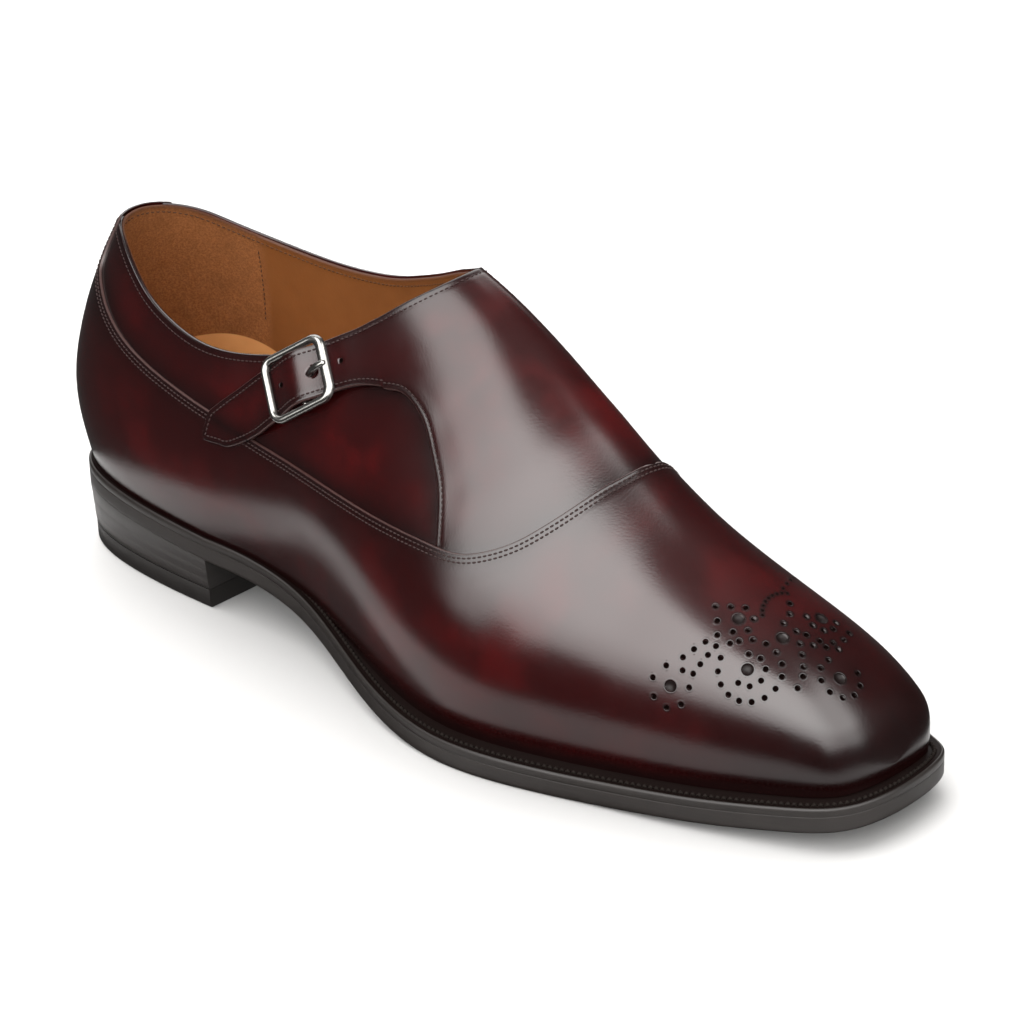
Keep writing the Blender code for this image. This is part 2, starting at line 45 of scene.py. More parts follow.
# Shoe coordinates are in millimetres: x from the back of the heel to the toe, y to the inner side,
# z up from the floor. The last's sections are the fixed frame's own.
last = {
    "length": 304.0, "heelLength": 71.0, "heelHeight": 19.7, "heelPitch": 4.0,
    "ballBack": 188.0, "ballFront": 222.0, "toeSpring": 6.0, "feather": 7.8,
    "crestLead": 26.0, "cornerFill": 1.9,
    # ring angle, half width outside and inside, bare ledge, swell outside and inside,
    # squareness outside and inside, lean of the wall, height and side of the crest
    "stations": (
        (0, 0.0, 0.0, 2.0, 3.8, 3.8, 0.0, 0.0, 10.0, 135.0, 0.0),
        (15, -17.0, 15.8, 1.8, 4.2, 4.4, -0.2, 0.1, 10.0, 134.5, 0.0),
        (30, -26.6, 26.8, 1.6, 4.6, 4.8, -0.5, 0.2, 8.0, 133.5, 0.0),
        (45, -31.0, 31.0, 1.6, 4.7, 4.5, -0.7, 0.3, 5.0, 132.0, 0.0),
        (60, -32.2, 30.2, 1.6, 4.9, 5.6, -0.8, 0.3, 2.5, 131.0, 0.2),
        (75, -34.6, 27.8, 2.2, 4.9, 8.0, -0.9, 0.0, 0.0, 128.0, 1.6),
        (90, -48.2, 31.2, 4.8, 4.9, 7.0, -0.9, -0.9, 0.0, 120.0, 2.2),
        (105, -54.5, 41.0, 6.6, 4.3, 4.2, -0.6, -1.9, 0.0, 100.5, 0.6),
        (120, -46.6, 45.0, 6.9, 3.3, 2.7, -0.15, -1.9, 0.0, 75.5, 1.0),
        (135, -38.0, 40.2, 6.8, 2.3, 1.8, 0.4, -1.1, 0.0, 57.5, 3.2),
        (150, -29.0, 31.2, 6.6, 1.7, 1.3, 0.8, -0.1, 0.0, 44.5, 4.2),
        (160, -23.2, 25.6, 6.4, 1.3, 1.2, 1.0, 0.5, 0.0, 36.0, 3.8),
        (170, -13.9, 18.4, 6.2, 0.8, 0.9, 1.1, 0.9, 0.0, 27.0, 3.4),
        (180, 1.7, 1.7, 6.2, 0.0, 0.0, 1.1, 1.1, 0.0, 17.0, 3.0),
    ),
    # one side of a section: swell, way to the crest, height, then shares of squareness and lean
    "ribs": (
        (0.0, 0.0, 0.0, 0.0, 0.0, 0.0),
        (0.55, 0.0, 0.1, 0.0, 0.0, 0.0),
        (1.1, 0.0, 0.27, 0.0, 0.02, 0.0),
        (1.05, 0.02, 0.5, -0.02, 0.06, 0.5),
        (0.55, 0.2, 0.76, -0.08, 0.12, 1.0),
        (0.1, 0.58, 0.96, -0.1, 0.03, 0.8),
        (0.0, 1.0, 1.0, 0.0, 0.0, 0.0),
    ),
    # x, height of the collar's edge outside and inside
    "collar": (
        (-12, 104.5, 104.5), (4, 104.2, 104.2), (13, 103.0, 103.0), (20, 100.9, 101.0),
        (30, 96.2, 96.9), (42, 90.4, 93.8), (55, 86.4, 92.0), (70, 84.0, 91.1),
        (85, 84.9, 91.8), (97, 87.4, 94.0), (107, 90.4, 97.4), (118, 95.4, 102.0),
        (135, 106.8, 110.3), (148, 116.0, 116.8), (162, 127.0, 127.5),
    ),
}


# A natural cubic spline through the values, or one closed on itself over a period.
def spline(knots, values, period=None):
    x, y = np.asarray(knots, float), np.asarray(values, float)
    count = len(x)
    if period:
        x, y = np.append(x, x[0] + period), np.append(y, y[0])
    span = np.diff(x)
    slope = np.diff(y) / span
    system, target = np.zeros((count, count)), np.zeros(count)
    for i in range(count):
        if not period and i in (0, count - 1):
            system[i, i] = 1.0
            continue
        system[i, i - 1] += span[i - 1]
        system[i, i] += 2 * (span[i - 1] + span[i])
        system[i, (i + 1) % count] += span[i]
        target[i] = 6 * (slope[i] - slope[i - 1])
    bend = np.linalg.solve(system, target)
    if period:
        bend = np.append(bend, bend[0])

    def value(at):
        at = np.asarray(at, float)
        if period:
            at = x[0] + (at - x[0]) % period
        i = np.clip(np.searchsorted(x, at, side="right") - 1, 0, len(span) - 1)
        left, right = (x[i + 1] - at) / span[i], (at - x[i]) / span[i]
        sag = (left**3 - left) * bend[i] + (right**3 - right) * bend[i + 1]
        return left * y[i] + right * y[i + 1] + sag * span[i] ** 2 / 6

    return value


# A closed curve over the ring angle: one column on the outer side, another on the inner.
def ringCurve(outer, inner):
    rows = np.array(last["stations"])
    knots = np.concatenate([-rows[-2:0:-1, 0], rows[:, 0]])
    return spline(knots, np.concatenate([rows[-2:0:-1, inner], rows[:, outer]]), 360.0)


sideLine = ringCurve(1, 2)
evenLedge = ringCurve(3, 3)
swellCurve = ringCurve(4, 5)
boxCurve = ringCurve(6, 7)
leanCurve = ringCurve(8, 8)
crestHeight = ringCurve(9, 9)
crestSide = ringCurve(10, 10)


# The bare ledge of the welt, narrower by cornerFill round the inner corner of the toe.
def ledge(angle):
    away = (np.asarray(angle, float) + 166 + 180) % 360 - 180
    return evenLedge(angle) - last["cornerFill"] * np.exp(-((away / 14) ** 2))


# 0 before start, 1 after end, an S between them.
def smoothStep(value, start, end):
    share = np.clip((value - start) / (end - start), 0, 1)
    return share * share * (3 - 2 * share)


# Vectors brought to length 1; one without a length stays 0.
def unit(vectors):
    return vectors / np.maximum(np.linalg.norm(vectors, axis=-1, keepdims=True), 1e-9)


# Distance run along a line of points, from 0 at its first.
def runningLength(points):
    return np.concatenate([[0], np.cumsum(np.linalg.norm(np.diff(points, axis=0), axis=1))])


# The sole's outline at ring angles, moved in by inset: x is half the length times 1 - cosine.
def outline(angle, inset=0.0):
    def edge(at):
        return np.stack([last["length"] * (1 - np.cos(np.radians(at))) / 2, sideLine(at)], -1)

    along = unit(edge(angle + 0.25) - edge(angle - 0.25))
    out = np.stack([along[..., 1], -along[..., 0]], -1)
    return edge(angle) - out * np.asarray(inset)[..., None], out


# Height of the sole's underside: heel seat, a cosine down the waist, flat tread, toe spring.
def soleBottom(x):
    seat = last["heelHeight"] - last["heelPitch"] * np.clip(x / last["heelLength"], 0, 1)
    start = last["heelLength"] + 4
    waist = 0.5 + 0.5 * np.cos(np.pi * np.clip((x - start) / (last["ballBack"] - start), 0, 1))
    toe = np.clip((x - last["ballFront"]) / (last["length"] - last["ballFront"]), 0, None)
    return seat * waist + last["toeSpring"] * toe**1.5


# Control points of the section on the side of each ring angle.
def ribPoints(angle):
    turn = np.abs((angle + 180) % 360 - 180)
    foot, out = outline(angle, ledge(angle))
    across, _ = outline(-angle, ledge(-angle))
    start = soleBottom(foot[..., 0]) + last["feather"]
    out = out * np.stack([1 - smoothStep(turn, 60, 120), np.ones_like(turn)], -1)
    lead = last["crestLead"] * (0.5 + 0.5 * np.cos(np.pi * np.clip(turn / 80, 0, 1)))
    crest = np.stack([(foot[..., 0] + across[..., 0]) / 2 + lead, crestSide(turn)], -1)
    height = crestHeight(turn) - start
    points = []
    for swell, inward, up, boxInward, boxUp, lean in last["ribs"]:
        inward = inward + boxInward * boxCurve(angle)
        up = up + boxUp * boxCurve(angle)
        aside = swell * swellCurve(angle) - lean * leanCurve(angle)
        place = foot + inward[..., None] * (crest - foot) + aside[..., None] * out
        points.append(np.concatenate([place, (start + up * height)[..., None]], -1))
    return points


# Outside of the upper: a uniform cubic B-spline up each rib. side is 1 at the outer side's lower
# edge, 0 along the crest and -1 at the inner side's lower edge; turn is 0 at the heel, 180 at the toe.
def upperSurface(turn, side):
    turn, side = np.broadcast_arrays(np.asarray(turn, float), np.asarray(side, float))
    angle = np.where(side < 0, -turn, turn)
    rise = 1 - np.abs(side)
    own, other = ribPoints(angle), ribPoints(-angle)
    control = np.stack([2 * own[0] - own[1], *own, other[5], other[4], other[3]])
    span = np.clip(np.floor(rise * 6), 0, 6).astype(int)
    u = rise * 6 - span
    weights = ((1 - u) ** 3, 3 * u**3 - 6 * u**2 + 4, -3 * u**3 + 3 * u**2 + 3 * u + 1, u**3)
    total = 0
    for k, weight in enumerate(weights):
        chosen = np.take_along_axis(control, (span + k)[None, ..., None], 0)[0]
        total = total + chosen * (weight / 6)[..., None]
    return total


# Outward direction: the cross product of small steps along and over the surface.
def upperNormal(turn, side):
    turn, side = np.broadcast_arrays(np.asarray(turn, float), np.asarray(side, float))
    turn = np.clip(turn, 0.3, 179.7)
    along = upperSurface(turn + 0.3, side) - upperSurface(turn - 0.3, side)
    over = upperSurface(turn, side - 0.003) - upperSurface(turn, side + 0.003)
    return unit(np.cross(along, over))


# A place on the surface, moved off it along its outward direction.
def lifted(turn, side, lift):
    return upperSurface(turn, side) + upperNormal(turn, side) * np.asarray(lift)[..., None]


# How far a place moves, in millimetres, for each degree of turn and for each unit of side.
def slopes(turn, side):
    byTurn = (upperSurface(turn + 0.05, side) - upperSurface(turn - 0.05, side)) / 0.1
    bySide = (upperSurface(turn, side + 0.0005) - upperSurface(turn, side - 0.0005)) / 0.001
    return byTurn, bySide


# Turn and side after a step of some millimetres along the surface, by least squares on its slopes.
def stepped(turn, side, way):
    plane = np.stack(slopes(turn, side), -1)
    step = (np.linalg.pinv(plane) @ way[..., None])[..., 0]
    return turn + step[..., 0], side + step[..., 1]


# Turns and sides on straight lines from a lower edge to an upper one, at shares of the way.
def ruled(low, high, shares):
    return [start[:, None] + (end - start)[:, None] * shares for start, end in zip(low, high)]


# Turn and side of the collar's edge at compass angles from 90 (heel, outer half) by 0 (throat) to
# -90 (heel, inner half): the first place along each ray where the surface sinks below the edge.
def collarPlace(compass):
    rows = np.array(last["collar"])
    outside, inside = spline(rows[:, 0], rows[:, 1]), spline(rows[:, 0], rows[:, 2])
    reach = np.linspace(0.2, 1.6, 500)
    across, ahead = np.sin(np.radians(compass)), np.cos(np.radians(compass))
    turn, side = 80 * reach[None] * ahead[:, None], 0.4 * reach[None] * across[:, None]
    place = upperSurface(turn, side)
    share = smoothStep(place[..., 1], -18, 18)
    above = place[..., 2] - outside(place[..., 0]) * (1 - share) - inside(place[..., 0]) * share
    first = np.argmax(above < 0, axis=1)
    rows = np.arange(len(compass))
    before, after = above[rows, first - 1], above[rows, first]
    at = reach[first - 1] + (reach[first] - reach[first - 1]) * before / (before - after)
    return 80 * at * ahead, 0.4 * at * across


compassTable = np.linspace(-90, 90, 1441)
collarTurn, collarSide = collarPlace(compassTable)
collarLine = upperSurface(collarTurn, collarSide)[::4]
throatIndex = len(compassTable) // 2
throatTurn = collarTurn[throatIndex]


# Compass angle of the collar's edge at a ring turn, on the outer (1) or inner (-1) side.
def compassAt(turn, sign):
    half = slice(throatIndex, None, 1 if sign > 0 else -1)
    return np.interp(turn, collarTurn[half][::-1], compassTable[half][::-1])


# Turn and side of the collar's edge at compass angles.
def collarAt(compass):
    return np.interp(compass, compassTable, collarTurn), np.interp(compass, compassTable, collarSide)


# The buckle, in millimetres: turn and side of the place under its middle, the way it points, and
# the height of its middle over the leather.
buckle = {
    "turn": 75.8, "side": 0.375, "along": (0.83, 0.2, 0.52), "lift": 5.0,
    "length": 23.4, "width": 20.4, "corner": 4.4, "bar": 2.25, "frontBar": 3.1, "height": 2.1,
    "pinRadius": 0.8, "pinDrop": 1.6, "prongRadius": 1.12,
    # it stands off behind and swings up in front, in degrees; moved along, across and off the strap
    "tilt": 5.0, "swing": 4.0, "shift": (1.0, -0.6, 0.5),
    # distance along and height of the prong's middle line
    "prong": ((1.2, -1.2), (3.3, -0.9), (5.0, 0.0), (7.0, 1.05), (9.0, 1.75), (10.6, 1.9), (11.9, 1.8)),
    # points of that line, counted from 0, and shares of the prong's radius there
    "prongTaper": ((0, 4, 5.7, 6), (1.0, 0.92, 0.78, 0.5)),
}


# Axes of a flat plan over the leather: its middle, a way ahead turned into the surface's plane, the
# way across, and outward.
def planAxes(middle, out, ahead):
    along = unit(ahead - out * ahead.dot(out))
    return middle, along, np.cross(out, along), out


# The strap's own plan at the buckle, as high as the frame's middle.
def buckleAxes():
    place = (buckle["turn"], buckle["side"])
    return planAxes(lifted(*place, buckle["lift"]), upperNormal(*place), np.array(buckle["along"]))


# Turn and side of places charted ahead of and across from a middle, by Newton steps; lengths
# grow by 2/3 of the squared slope down from the plane, which nearly unrolls a domed surface.
def charted(axes, start, along, across, unroll=0.0):
    middle, sideX, sideY, out = axes
    aim = np.stack(np.broadcast_arrays(along, across), -1).astype(float)
    frameOf = np.stack([sideX, sideY, out], -1)

    def plan(turn, side):
        here = (upperSurface(turn, side) - middle) @ frameOf
        flat = here[..., :2]
        slope = here[..., 2] ** 2 / np.maximum((flat**2).sum(-1), 1e-6)
        return flat * (1 + unroll * slope)[..., None]

    place = np.zeros(aim.shape) + start
    for _ in range(14):
        turn, side = place[..., 0], place[..., 1]
        here = plan(turn, side)
        byTurn = (plan(turn + 0.01, side) - here) / 0.01
        bySide = (plan(turn, side + 0.0001) - here) / 0.0001
        step = np.linalg.solve(np.stack([byTurn, bySide], -1), (aim - here)[..., None])[..., 0]
        place += np.clip(step, (-6, -0.12), (6, 0.12))
    return place[..., 0], place[..., 1]


# Turn and side under places of the strap, along and across it from the buckle's middle.
def underStrap(along, across):
    return charted(buckleAxes(), (buckle["turn"], buckle["side"]), along, across)


# From shoe coordinates in millimetres to the frame's, in metres: the outsole's corners agree.
shoeShift = np.array([
    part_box("outsole")[0][0] / millimetre,
    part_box("outsole")[0][1] / millimetre - outline(np.linspace(-180, 180, 97)[1:])[0][:, 1].min(),
    0.0,
])


# One point for each place: points closer than half a thousandth of a millimetre become one, and
# faces that lose a side become triangles or go.
def welded(points, faces):
    key = np.round(points * 1000).astype(np.int64)
    _, first, index = np.unique(key, axis=0, return_index=True, return_inverse=True)
    index = index.reshape(-1)
    faces = index[faces]
    kept = np.ones(faces.shape, bool)
    for k in range(faces.shape[1]):
        kept[:, k] = faces[:, k] != faces[:, k - 1]
    count = kept.sum(1)
    whole = faces[count == faces.shape[1]]
    thin = faces[count == 3][kept[count == 3]].reshape(-1, 3) if faces.shape[1] == 4 else faces[:0, :3]
    return first, index, whole, thin


# A mesh object from points in shoe millimetres and arrays of quads; marks are one value a point.
def newPiece(name, points, quads, marks=None, polygons=(), smooth=True, sharp=None):
    points = points.reshape(-1, 3)
    first, index, whole, thin = welded(points, quads)
    faces = whole.tolist() + thin.tolist() + [index[np.asarray(p)].tolist() for p in polygons]
    mesh = bpy.data.meshes.new(name)
    mesh.from_pydata(((points[first] + shoeShift) * millimetre).tolist(), [], faces)
    for mark, values in (marks or {}).items():
        layer = mesh.attributes.new(mark, "FLOAT", "POINT")
        layer.data.foreach_set("value", np.asarray(values, np.float32).reshape(-1)[first])
    mesh.validate()
    if smooth:
        mesh.shade_smooth()
    if sharp:
        mesh.set_sharp_from_angle(angle=np.radians(sharp))
    piece = bpy.data.objects.new(name, mesh)
    bpy.context.scene.collection.objects.link(piece)
    return piece


# Quads between the points of a grid of columns x rows, turned round when flipped.
def gridQuads(columns, rows, start=0, closed=False, flipped=False):
    i = np.arange(columns if closed else columns - 1)[:, None]
    j = np.arange(rows - 1)[None]
    a, b = start + i * rows + j, start + (i + 1) % columns * rows + j
    quads = np.stack([a, b, b + 1, a + 1], -1).reshape(-1, 4)
    return quads[:, ::-1] if flipped else quads


# One piece from several grids of points, each given with whether it closes round and whether it is
# turned round.
def pieceOf(name, grids, sharp=None):
    points, quads, start = [], [], 0
    for grid, closed, flipped in grids:
        points.append(grid.reshape(-1, 3))
        quads.append(gridQuads(*grid.shape[:2], start, closed, flipped))
        start += grid[..., 0].size
    return newPiece(name, np.concatenate(points), np.concatenate(quads), sharp=sharp)


# A flat grid between two edges, its heights given by a function of its points' x.
def ladder(outer, inner, heightAt, across):
    share = np.linspace(0, 1, across + 1)[None, :, None]
    grid = outer[:, None] + (inner - outer)[:, None] * share
    grid[..., 2] = heightAt(grid[..., 0])
    return grid


# A wall of leather: an outer and an inner grid over the same columns, joined along the first row and,
# where open is true, along the last one; where it isn't, the two sides of the shoe meet there.
def wall(name, outer, inner, closed, openTop=None, marks=None, innerMarks=None):
    columns, rows, depth = outer.shape[0], outer.shape[1], inner.shape[1]
    points = np.concatenate([outer.reshape(-1, 3), inner.reshape(-1, 3)])
    start = columns * rows
    quads = [gridQuads(columns, rows, 0, closed), gridQuads(columns, depth, start, closed, True)]
    i = np.arange(columns if closed else columns - 1)
    k = (i + 1) % columns
    low = np.stack([i * rows, start + i * depth, start + k * depth, k * rows], -1)
    outerTop, innerTop = rows - 1, start + depth - 1
    top = np.stack([outerTop + i * rows, outerTop + k * rows, innerTop + k * depth, innerTop + i * depth], -1)
    if openTop is not None:
        top = top[openTop[i] & openTop[k]]
    quads += [low, top]
    polygons = []
    if not closed:
        for c, turned in ((0, 1), (columns - 1, -1)):
            loop = [c * rows + j for j in range(rows)] + [start + c * depth + j for j in range(depth)][::-1]
            polygons.append(loop[::turned])
    full = {}
    for mark, values in (marks or {}).items():
        outside = np.broadcast_to(values, (columns, rows))
        inside = (innerMarks or {}).get(mark, np.zeros((columns, depth)))
        full[mark] = np.concatenate([outside.reshape(-1), inside.reshape(-1)])
    return newPiece(name, points, np.concatenate(quads), full, polygons)


# Shares of the way along lines of these lengths: rows at fixed distances from each end, and the rest
# spread evenly between them.
def rowShares(length, fromStart, fromEnd, between):
    room = fromStart[-1] + fromEnd[-1]
    scale = np.minimum(1, length * 0.9 / room)[:, None]
    first = np.array(fromStart)[None] * scale
    final = length[:, None] - np.array(fromEnd[::-1])[None] * scale
    middle = np.linspace(0, 1, between + 2)[None, 1:-1]
    middle = first[:, -1:] + (final[:, :1] - first[:, -1:]) * middle
    return np.concatenate([first, middle, final], 1) / length[:, None]


# How far the rounded edge of a piece of this thickness has sunk at a distance from its edge.
def edgeDrop(distance, radius):
    away = np.clip(distance / radius, 0, 1)
    return radius * (1 - np.sqrt(1 - (1 - away) ** 2))


# A shallow trough along a row of stitches.
def trough(distance, at, depth=0.08, width=0.5):
    return depth * np.exp(-(((distance - at) / width) ** 2))


collarStitch = 2.2  # from the edge of the collar to its row of stitches
collarRound = 0.8  # radius of the leather's edge along the collar
holeSlack = 0.13  # the leather's own holes are this much wider than the rims that line them
pinBelow = 0.6  # holes with a smaller radius don't pierce the leather's grid
farAway = 99.0  # stands for no edge near

# The seam between vamp and quarters: ring angle of the foot below it, turn and rise of its place.
vamp = {
    "outerStrip": ((14, 13.6, None), (15.6, 14.6, 0.655), (17.6, 16.2, 0.61), (20.5, 18.5, 0.572)),
    "innerStrip": ((20.2, 20.0, None), (21.2, 20.8, 0.6), (22.6, 22.0, 0.573)),
    "seam": (
        (24.5, 23.5, 0.558), (30, 29.5, 0.542), (39.5, 39, 0.511), (50, 50, 0.483),
        (60, 60, 0.461), (68.5, 68.5, 0.446), (77.5, 77.5, 0.461), (86, 86, 0.495),
        (94, 94, 0.529), (100, 100, 0.553), (104, 104.5, 0.58), (107, 108.2, 0.63),
        (110, 111, 0.692), (112.4, 113.2, 0.765), (114.3, 114.8, 0.85), (115.4, 115.6, 0.93),
        (116, 115.8, 1.0),
    ),
    "apexFoot": 116.0,
    "raise": 0.4, "raiseReach": (3, 24), "thickness": 1.05, "edgeRadius": 0.45,
    # foot angles: where the back strip is left behind, and where the toe's own rows take over
    "stripFoot": 24, "toeBlend": (117, 124),
    "stitchRows": (1.3, 2.55),
    # soft troughs (less than 0) and ridges over the ball: turn, side, degrees from straight
    # across, half length, half width and height, in millimetres
    "folds": (
        (112, 0.52, 12, 26, 6, -0.16), (118, 0.44, 10, 30, 7, 0.12),
        (124, 0.36, 8, 26, 7, -0.12), (108, -0.5, -10, 24, 6, -0.15),
    ),
}


# Turn and side of the seam over the angle of the foot below it: splines through the strip's edge,
# which starts on the collar, and the seam.
def seamCurve(strip, sign):
    rows = [list(row) for row in (*vamp[strip], *vamp["seam"])]
    rows[0][2] = 1 - abs(collarAt(compassAt(rows[0][1], sign))[1])
    rows = np.array(rows, float)
    turn, rise = spline(rows[:, 0], rows[:, 1]), spline(rows[:, 0], rows[:, 2])
    return rows[0, 0], lambda foot: (turn(foot), sign * np.clip(1 - rise(foot), 0, 1))


outerCorner, outerSeam = seamCurve("outerStrip", 1)
innerCorner, innerSeam = seamCurve("innerStrip", -1)


# Even points along a curve of the surface: the length run, and turn and side there.
def curveThrough(turn, side, spacing):
    length = runningLength(upperSurface(turn, side))
    even = np.linspace(0, length[-1], max(2, int(round(length[-1] / spacing)) + 1))
    return even, np.interp(even, length, turn), np.interp(even, length, side)


# Distance of points from a line: the nearest of its points, then the two parts that meet there.
def distanceFrom(points, line):
    flat = points.reshape(-1, 3)
    nearest = np.concatenate([
        ((part[:, None] - line[None]) ** 2).sum(-1).argmin(1) for part in np.array_split(flat, 64)
    ])
    found = np.full(len(flat), 1e9)
    for step in (-1, 0):
        start = np.clip(nearest + step, 0, len(line) - 2)
        way = line[start + 1] - line[start]
        share = ((flat - line[start]) * way).sum(1) / np.maximum((way**2).sum(1), 1e-12)
        foot = line[start] + way * np.clip(share, 0, 1)[:, None]
        found = np.minimum(found, np.linalg.norm(flat - foot, axis=1))
    return found.reshape(points.shape[:-1])


seamFoot = np.linspace(outerCorner, vamp["apexFoot"], 900), np.linspace(vamp["apexFoot"], innerCorner, 900)
seamPlace = [np.concatenate(pair) for pair in zip(outerSeam(seamFoot[0]), innerSeam(seamFoot[1]))]
_, seamTurn, seamSide = curveThrough(*seamPlace, 0.8)
seamLine = upperSurface(seamTurn, seamSide)


# Ring columns of the outer half, and the matching ones of the inner half, heel to toe and back.
def wholeRing(half):
    return np.concatenate([half, -half[-2:0:-1]])


# Where the two halves of a ring meet on the crest, their last points become one.
def meetAtCrest(points, half):
    count = len(half)
    outer, inner = points[1:count - 1, -1], points[count:, -1][::-1]
    same = np.abs(outer - inner).max(1) < 0.05
    outer[same] = inner[same] = ((outer + inner) / 2)[same]
    return points


# How far the panels behind the seam have sunk under the vamp: 1 at the seam, 0 from 20 mm away.
def underSeam(away):
    return 1 - smoothStep(away, 0, 20)


# How far the vamp stands up over the last near its seam, where it lies on the quarters.
def vampRaise(away):
    return vamp["raise"] * (1 - smoothStep(away, *vamp["raiseReach"]))


# The vamp: a ring of columns up from the sole, closed over the toe, with its upper edge on the seam
# and, round the back strip, on the collar. Columns are closer where holes or the apex need it.
def makeVamp():
    half = np.concatenate([
        np.linspace(0, 20, 21), np.linspace(21, 98, 78), np.linspace(98.6, 105.4, 12),
        np.linspace(105.6, 117, 58), np.linspace(117.6, 124, 12),
        np.linspace(124.2, 166, 215), np.linspace(167, 180, 14),
    ])
    foot = wholeRing(half)
    size, outside = np.abs(foot), foot >= 0
    turn, side = size.copy(), np.zeros(len(foot))
    for sign, corner, seam in ((1, outerCorner, outerSeam), (-1, innerCorner, innerSeam)):
        mine = outside if sign > 0 else ~outside
        back = mine & (size < corner)
        turn[back] = size[back] * seam(corner)[0] / corner
        side[back] = collarAt(compassAt(turn[back], sign))[1]
        front = mine & (size >= corner) & (size < vamp["apexFoot"])
        turn[front], side[front] = seam(size[front])
    side[0] = collarAt(90.0)[1]
    onSeam = size <= vamp["apexFoot"] + 1e-6
    lowSide = np.where(outside, 1.01, -1.01)
    path = np.linspace(0, 1, 25)[None]
    edges = (size, lowSide), (turn, side)
    length = np.linalg.norm(np.diff(upperSurface(*ruled(*edges, path)), axis=1), axis=-1).sum(1)
    fromEdge = (0, 0.12, 0.28, 0.5, 0.8, 1.2, 1.7, 2.2, 2.8, 3.4, 4.2, 5.2, 7)
    shares = rowShares(length, (0, 0.5, 1.1, 1.9, 3, 4.5), fromEdge, 60)
    toeShares = np.concatenate([
        [0, 0.012, 0.025, 0.045, 0.07], np.linspace(0.1, 0.38, 9), np.linspace(0.395, 1, 65),
    ])
    blend = smoothStep(size, *vamp["toeBlend"])[:, None]
    shares = shares * (1 - blend) + toeShares[None] * blend
    holes = [(*hole, radius + holeSlack) for *hole, radius in medallionHoles() if radius > pinBelow]
    turns, sides, pierced = pierce(*ruled(*edges, shares), holes)
    base = upperSurface(turns, sides)
    away = distanceFrom(base, seamLine)
    rim = np.full(away.shape, farAway)
    nearTop = len(fromEdge) + 1
    collar = distanceFrom(base[:, -nearTop:], collarLine)
    rim[:, -nearTop:] = np.where((size < vamp["stripFoot"])[:, None], collar, farAway)
    raised = vampRaise(away) * (1 - 0.6 * smoothStep(10 - rim, 0, 10))
    lift = raised - edgeDrop(away, vamp["edgeRadius"]) - edgeDrop(rim, collarRound)
    for at in vamp["stitchRows"]:
        lift -= trough(away, at)
    lift -= trough(rim, collarStitch) + pierced * medallion["depth"]
    lift += softFolds(turns, sides, vamp["folds"])
    outer = base + upperNormal(turns, sides) * lift[..., None]
    depth = np.concatenate([[0, 0.03], np.linspace(0.08, 1, 17)])[None]
    innerPlace = ruled(*edges, depth)
    innerAway = distanceFrom(upperSurface(*innerPlace), seamLine)
    inner = lifted(*innerPlace, vampRaise(innerAway) - vamp["thickness"])
    outer, inner = meetAtCrest(outer, half), meetAtCrest(inner, half)
    # darker near the seam and the collar, burnish with painted shade, and low down by the welt, painted shade
    # of the crease
    marks = {
        # the raw edge painted lighter, partly its own colour and partly a painted highlight on the rounded
        # edge
        "rawEdge": np.exp(-((away / 0.22) ** 2)),
        "shade": np.exp(-np.minimum(np.minimum(away / 9, rim / 6), (1.01 - np.abs(sides)) * 12)),
        "pierced": pierced,
    }
    piece = wall("vamp", outer, inner, True, onSeam, marks)
    piece.data.set_sharp_from_angle(angle=np.radians(32))
    return piece


# Soft troughs and ridges: a bell across each fold and a longer bell along it.
def softFolds(turns, sides, folds):
    height = np.zeros(turns.shape)
    for turn, side, degrees, length, width, rise in folds:
        byTurn, bySide = slopes(turn, side)
        ahead, across = np.linalg.norm(byTurn) * (turns - turn), np.linalg.norm(bySide) * (sides - side)
        angle = np.radians(degrees)
        over = ahead * np.cos(angle) + across * np.sin(angle)
        down = across * np.cos(angle) - ahead * np.sin(angle)
        height += rise * np.exp(-((over / width) ** 2) - (down / length) ** 2)
    return height


# The holes punched in the toe, charted on a flat plan in millimetres: ahead towards the tip, across
# to the inner side, from a middle just outside the crest.
medallion = {
    "turn": 143.0, "side": 0.16, "ahead": (0.88, 0.27, -0.4), "depth": 0.9,
    "big": 1.65, "small": 0.76, "pin": 0.4, "between": 0.75,
    # rosettes: ahead, across of the big hole
    "rosettes": ((-22, -25.6), (-4, -13), (-13.4, -1.8), (-1, 0), (17.4, -0.5), (4, 14), (-5, 32)),
    # loops of holes: ahead, across, radius, first and last angle in degrees, count, size
    "loops": (
        (-22, -26, 5.7, 20, 325, 7, "small"), (-3.6, -12.9, 4.4, -100, 122, 6, "small"),
        (-3.4, -12.8, 8.6, -175, 140, 14, "small"), (-13.4, -1.8, 4.1, -80, 150, 5, "small"),
        (-1, 0, 4.9, 18, 115, 3, "small"), (17.4, -0.2, 5.8, -205, 60, 8, "small"),
        (4, 14, 4.4, -140, 30, 5, "small"), (3.6, 14.2, 8.9, -165, 10, 8, "small"),
        (-5, 32, 5.6, -110, 200, 7, "pin"), (-1.6, 8, 8.8, 215, 130, 9, "pin"),
    ),
    # straight rows: ahead and across of both ends, count, size
    "rows": (
        (-21.4, -17.6, -15.8, -8.6, 4, "small"), (-16.6, -6.9, -20.4, -1.8, 4, "small"),
        (-17, -20.3, -14.6, -11.4, 4, "small"), (-11.7, -9, -8.8, -6.4, 2, "small"),
        (5.8, -1.2, 10.4, 1.4, 2, "small"), (3.8, 1.4, 12.6, 7.6, 4, "small"),
        (7.9, -4.3, 11.3, -2.4, 2, "small"), (9.2, -6.8, 9.8, -10.4, 2, "small"),
        (-9, 15.5, -9.4, 27, 5, "pin"), (24.6, -0.6, 23.9, 1.6, 2, "small"),
    ),
}


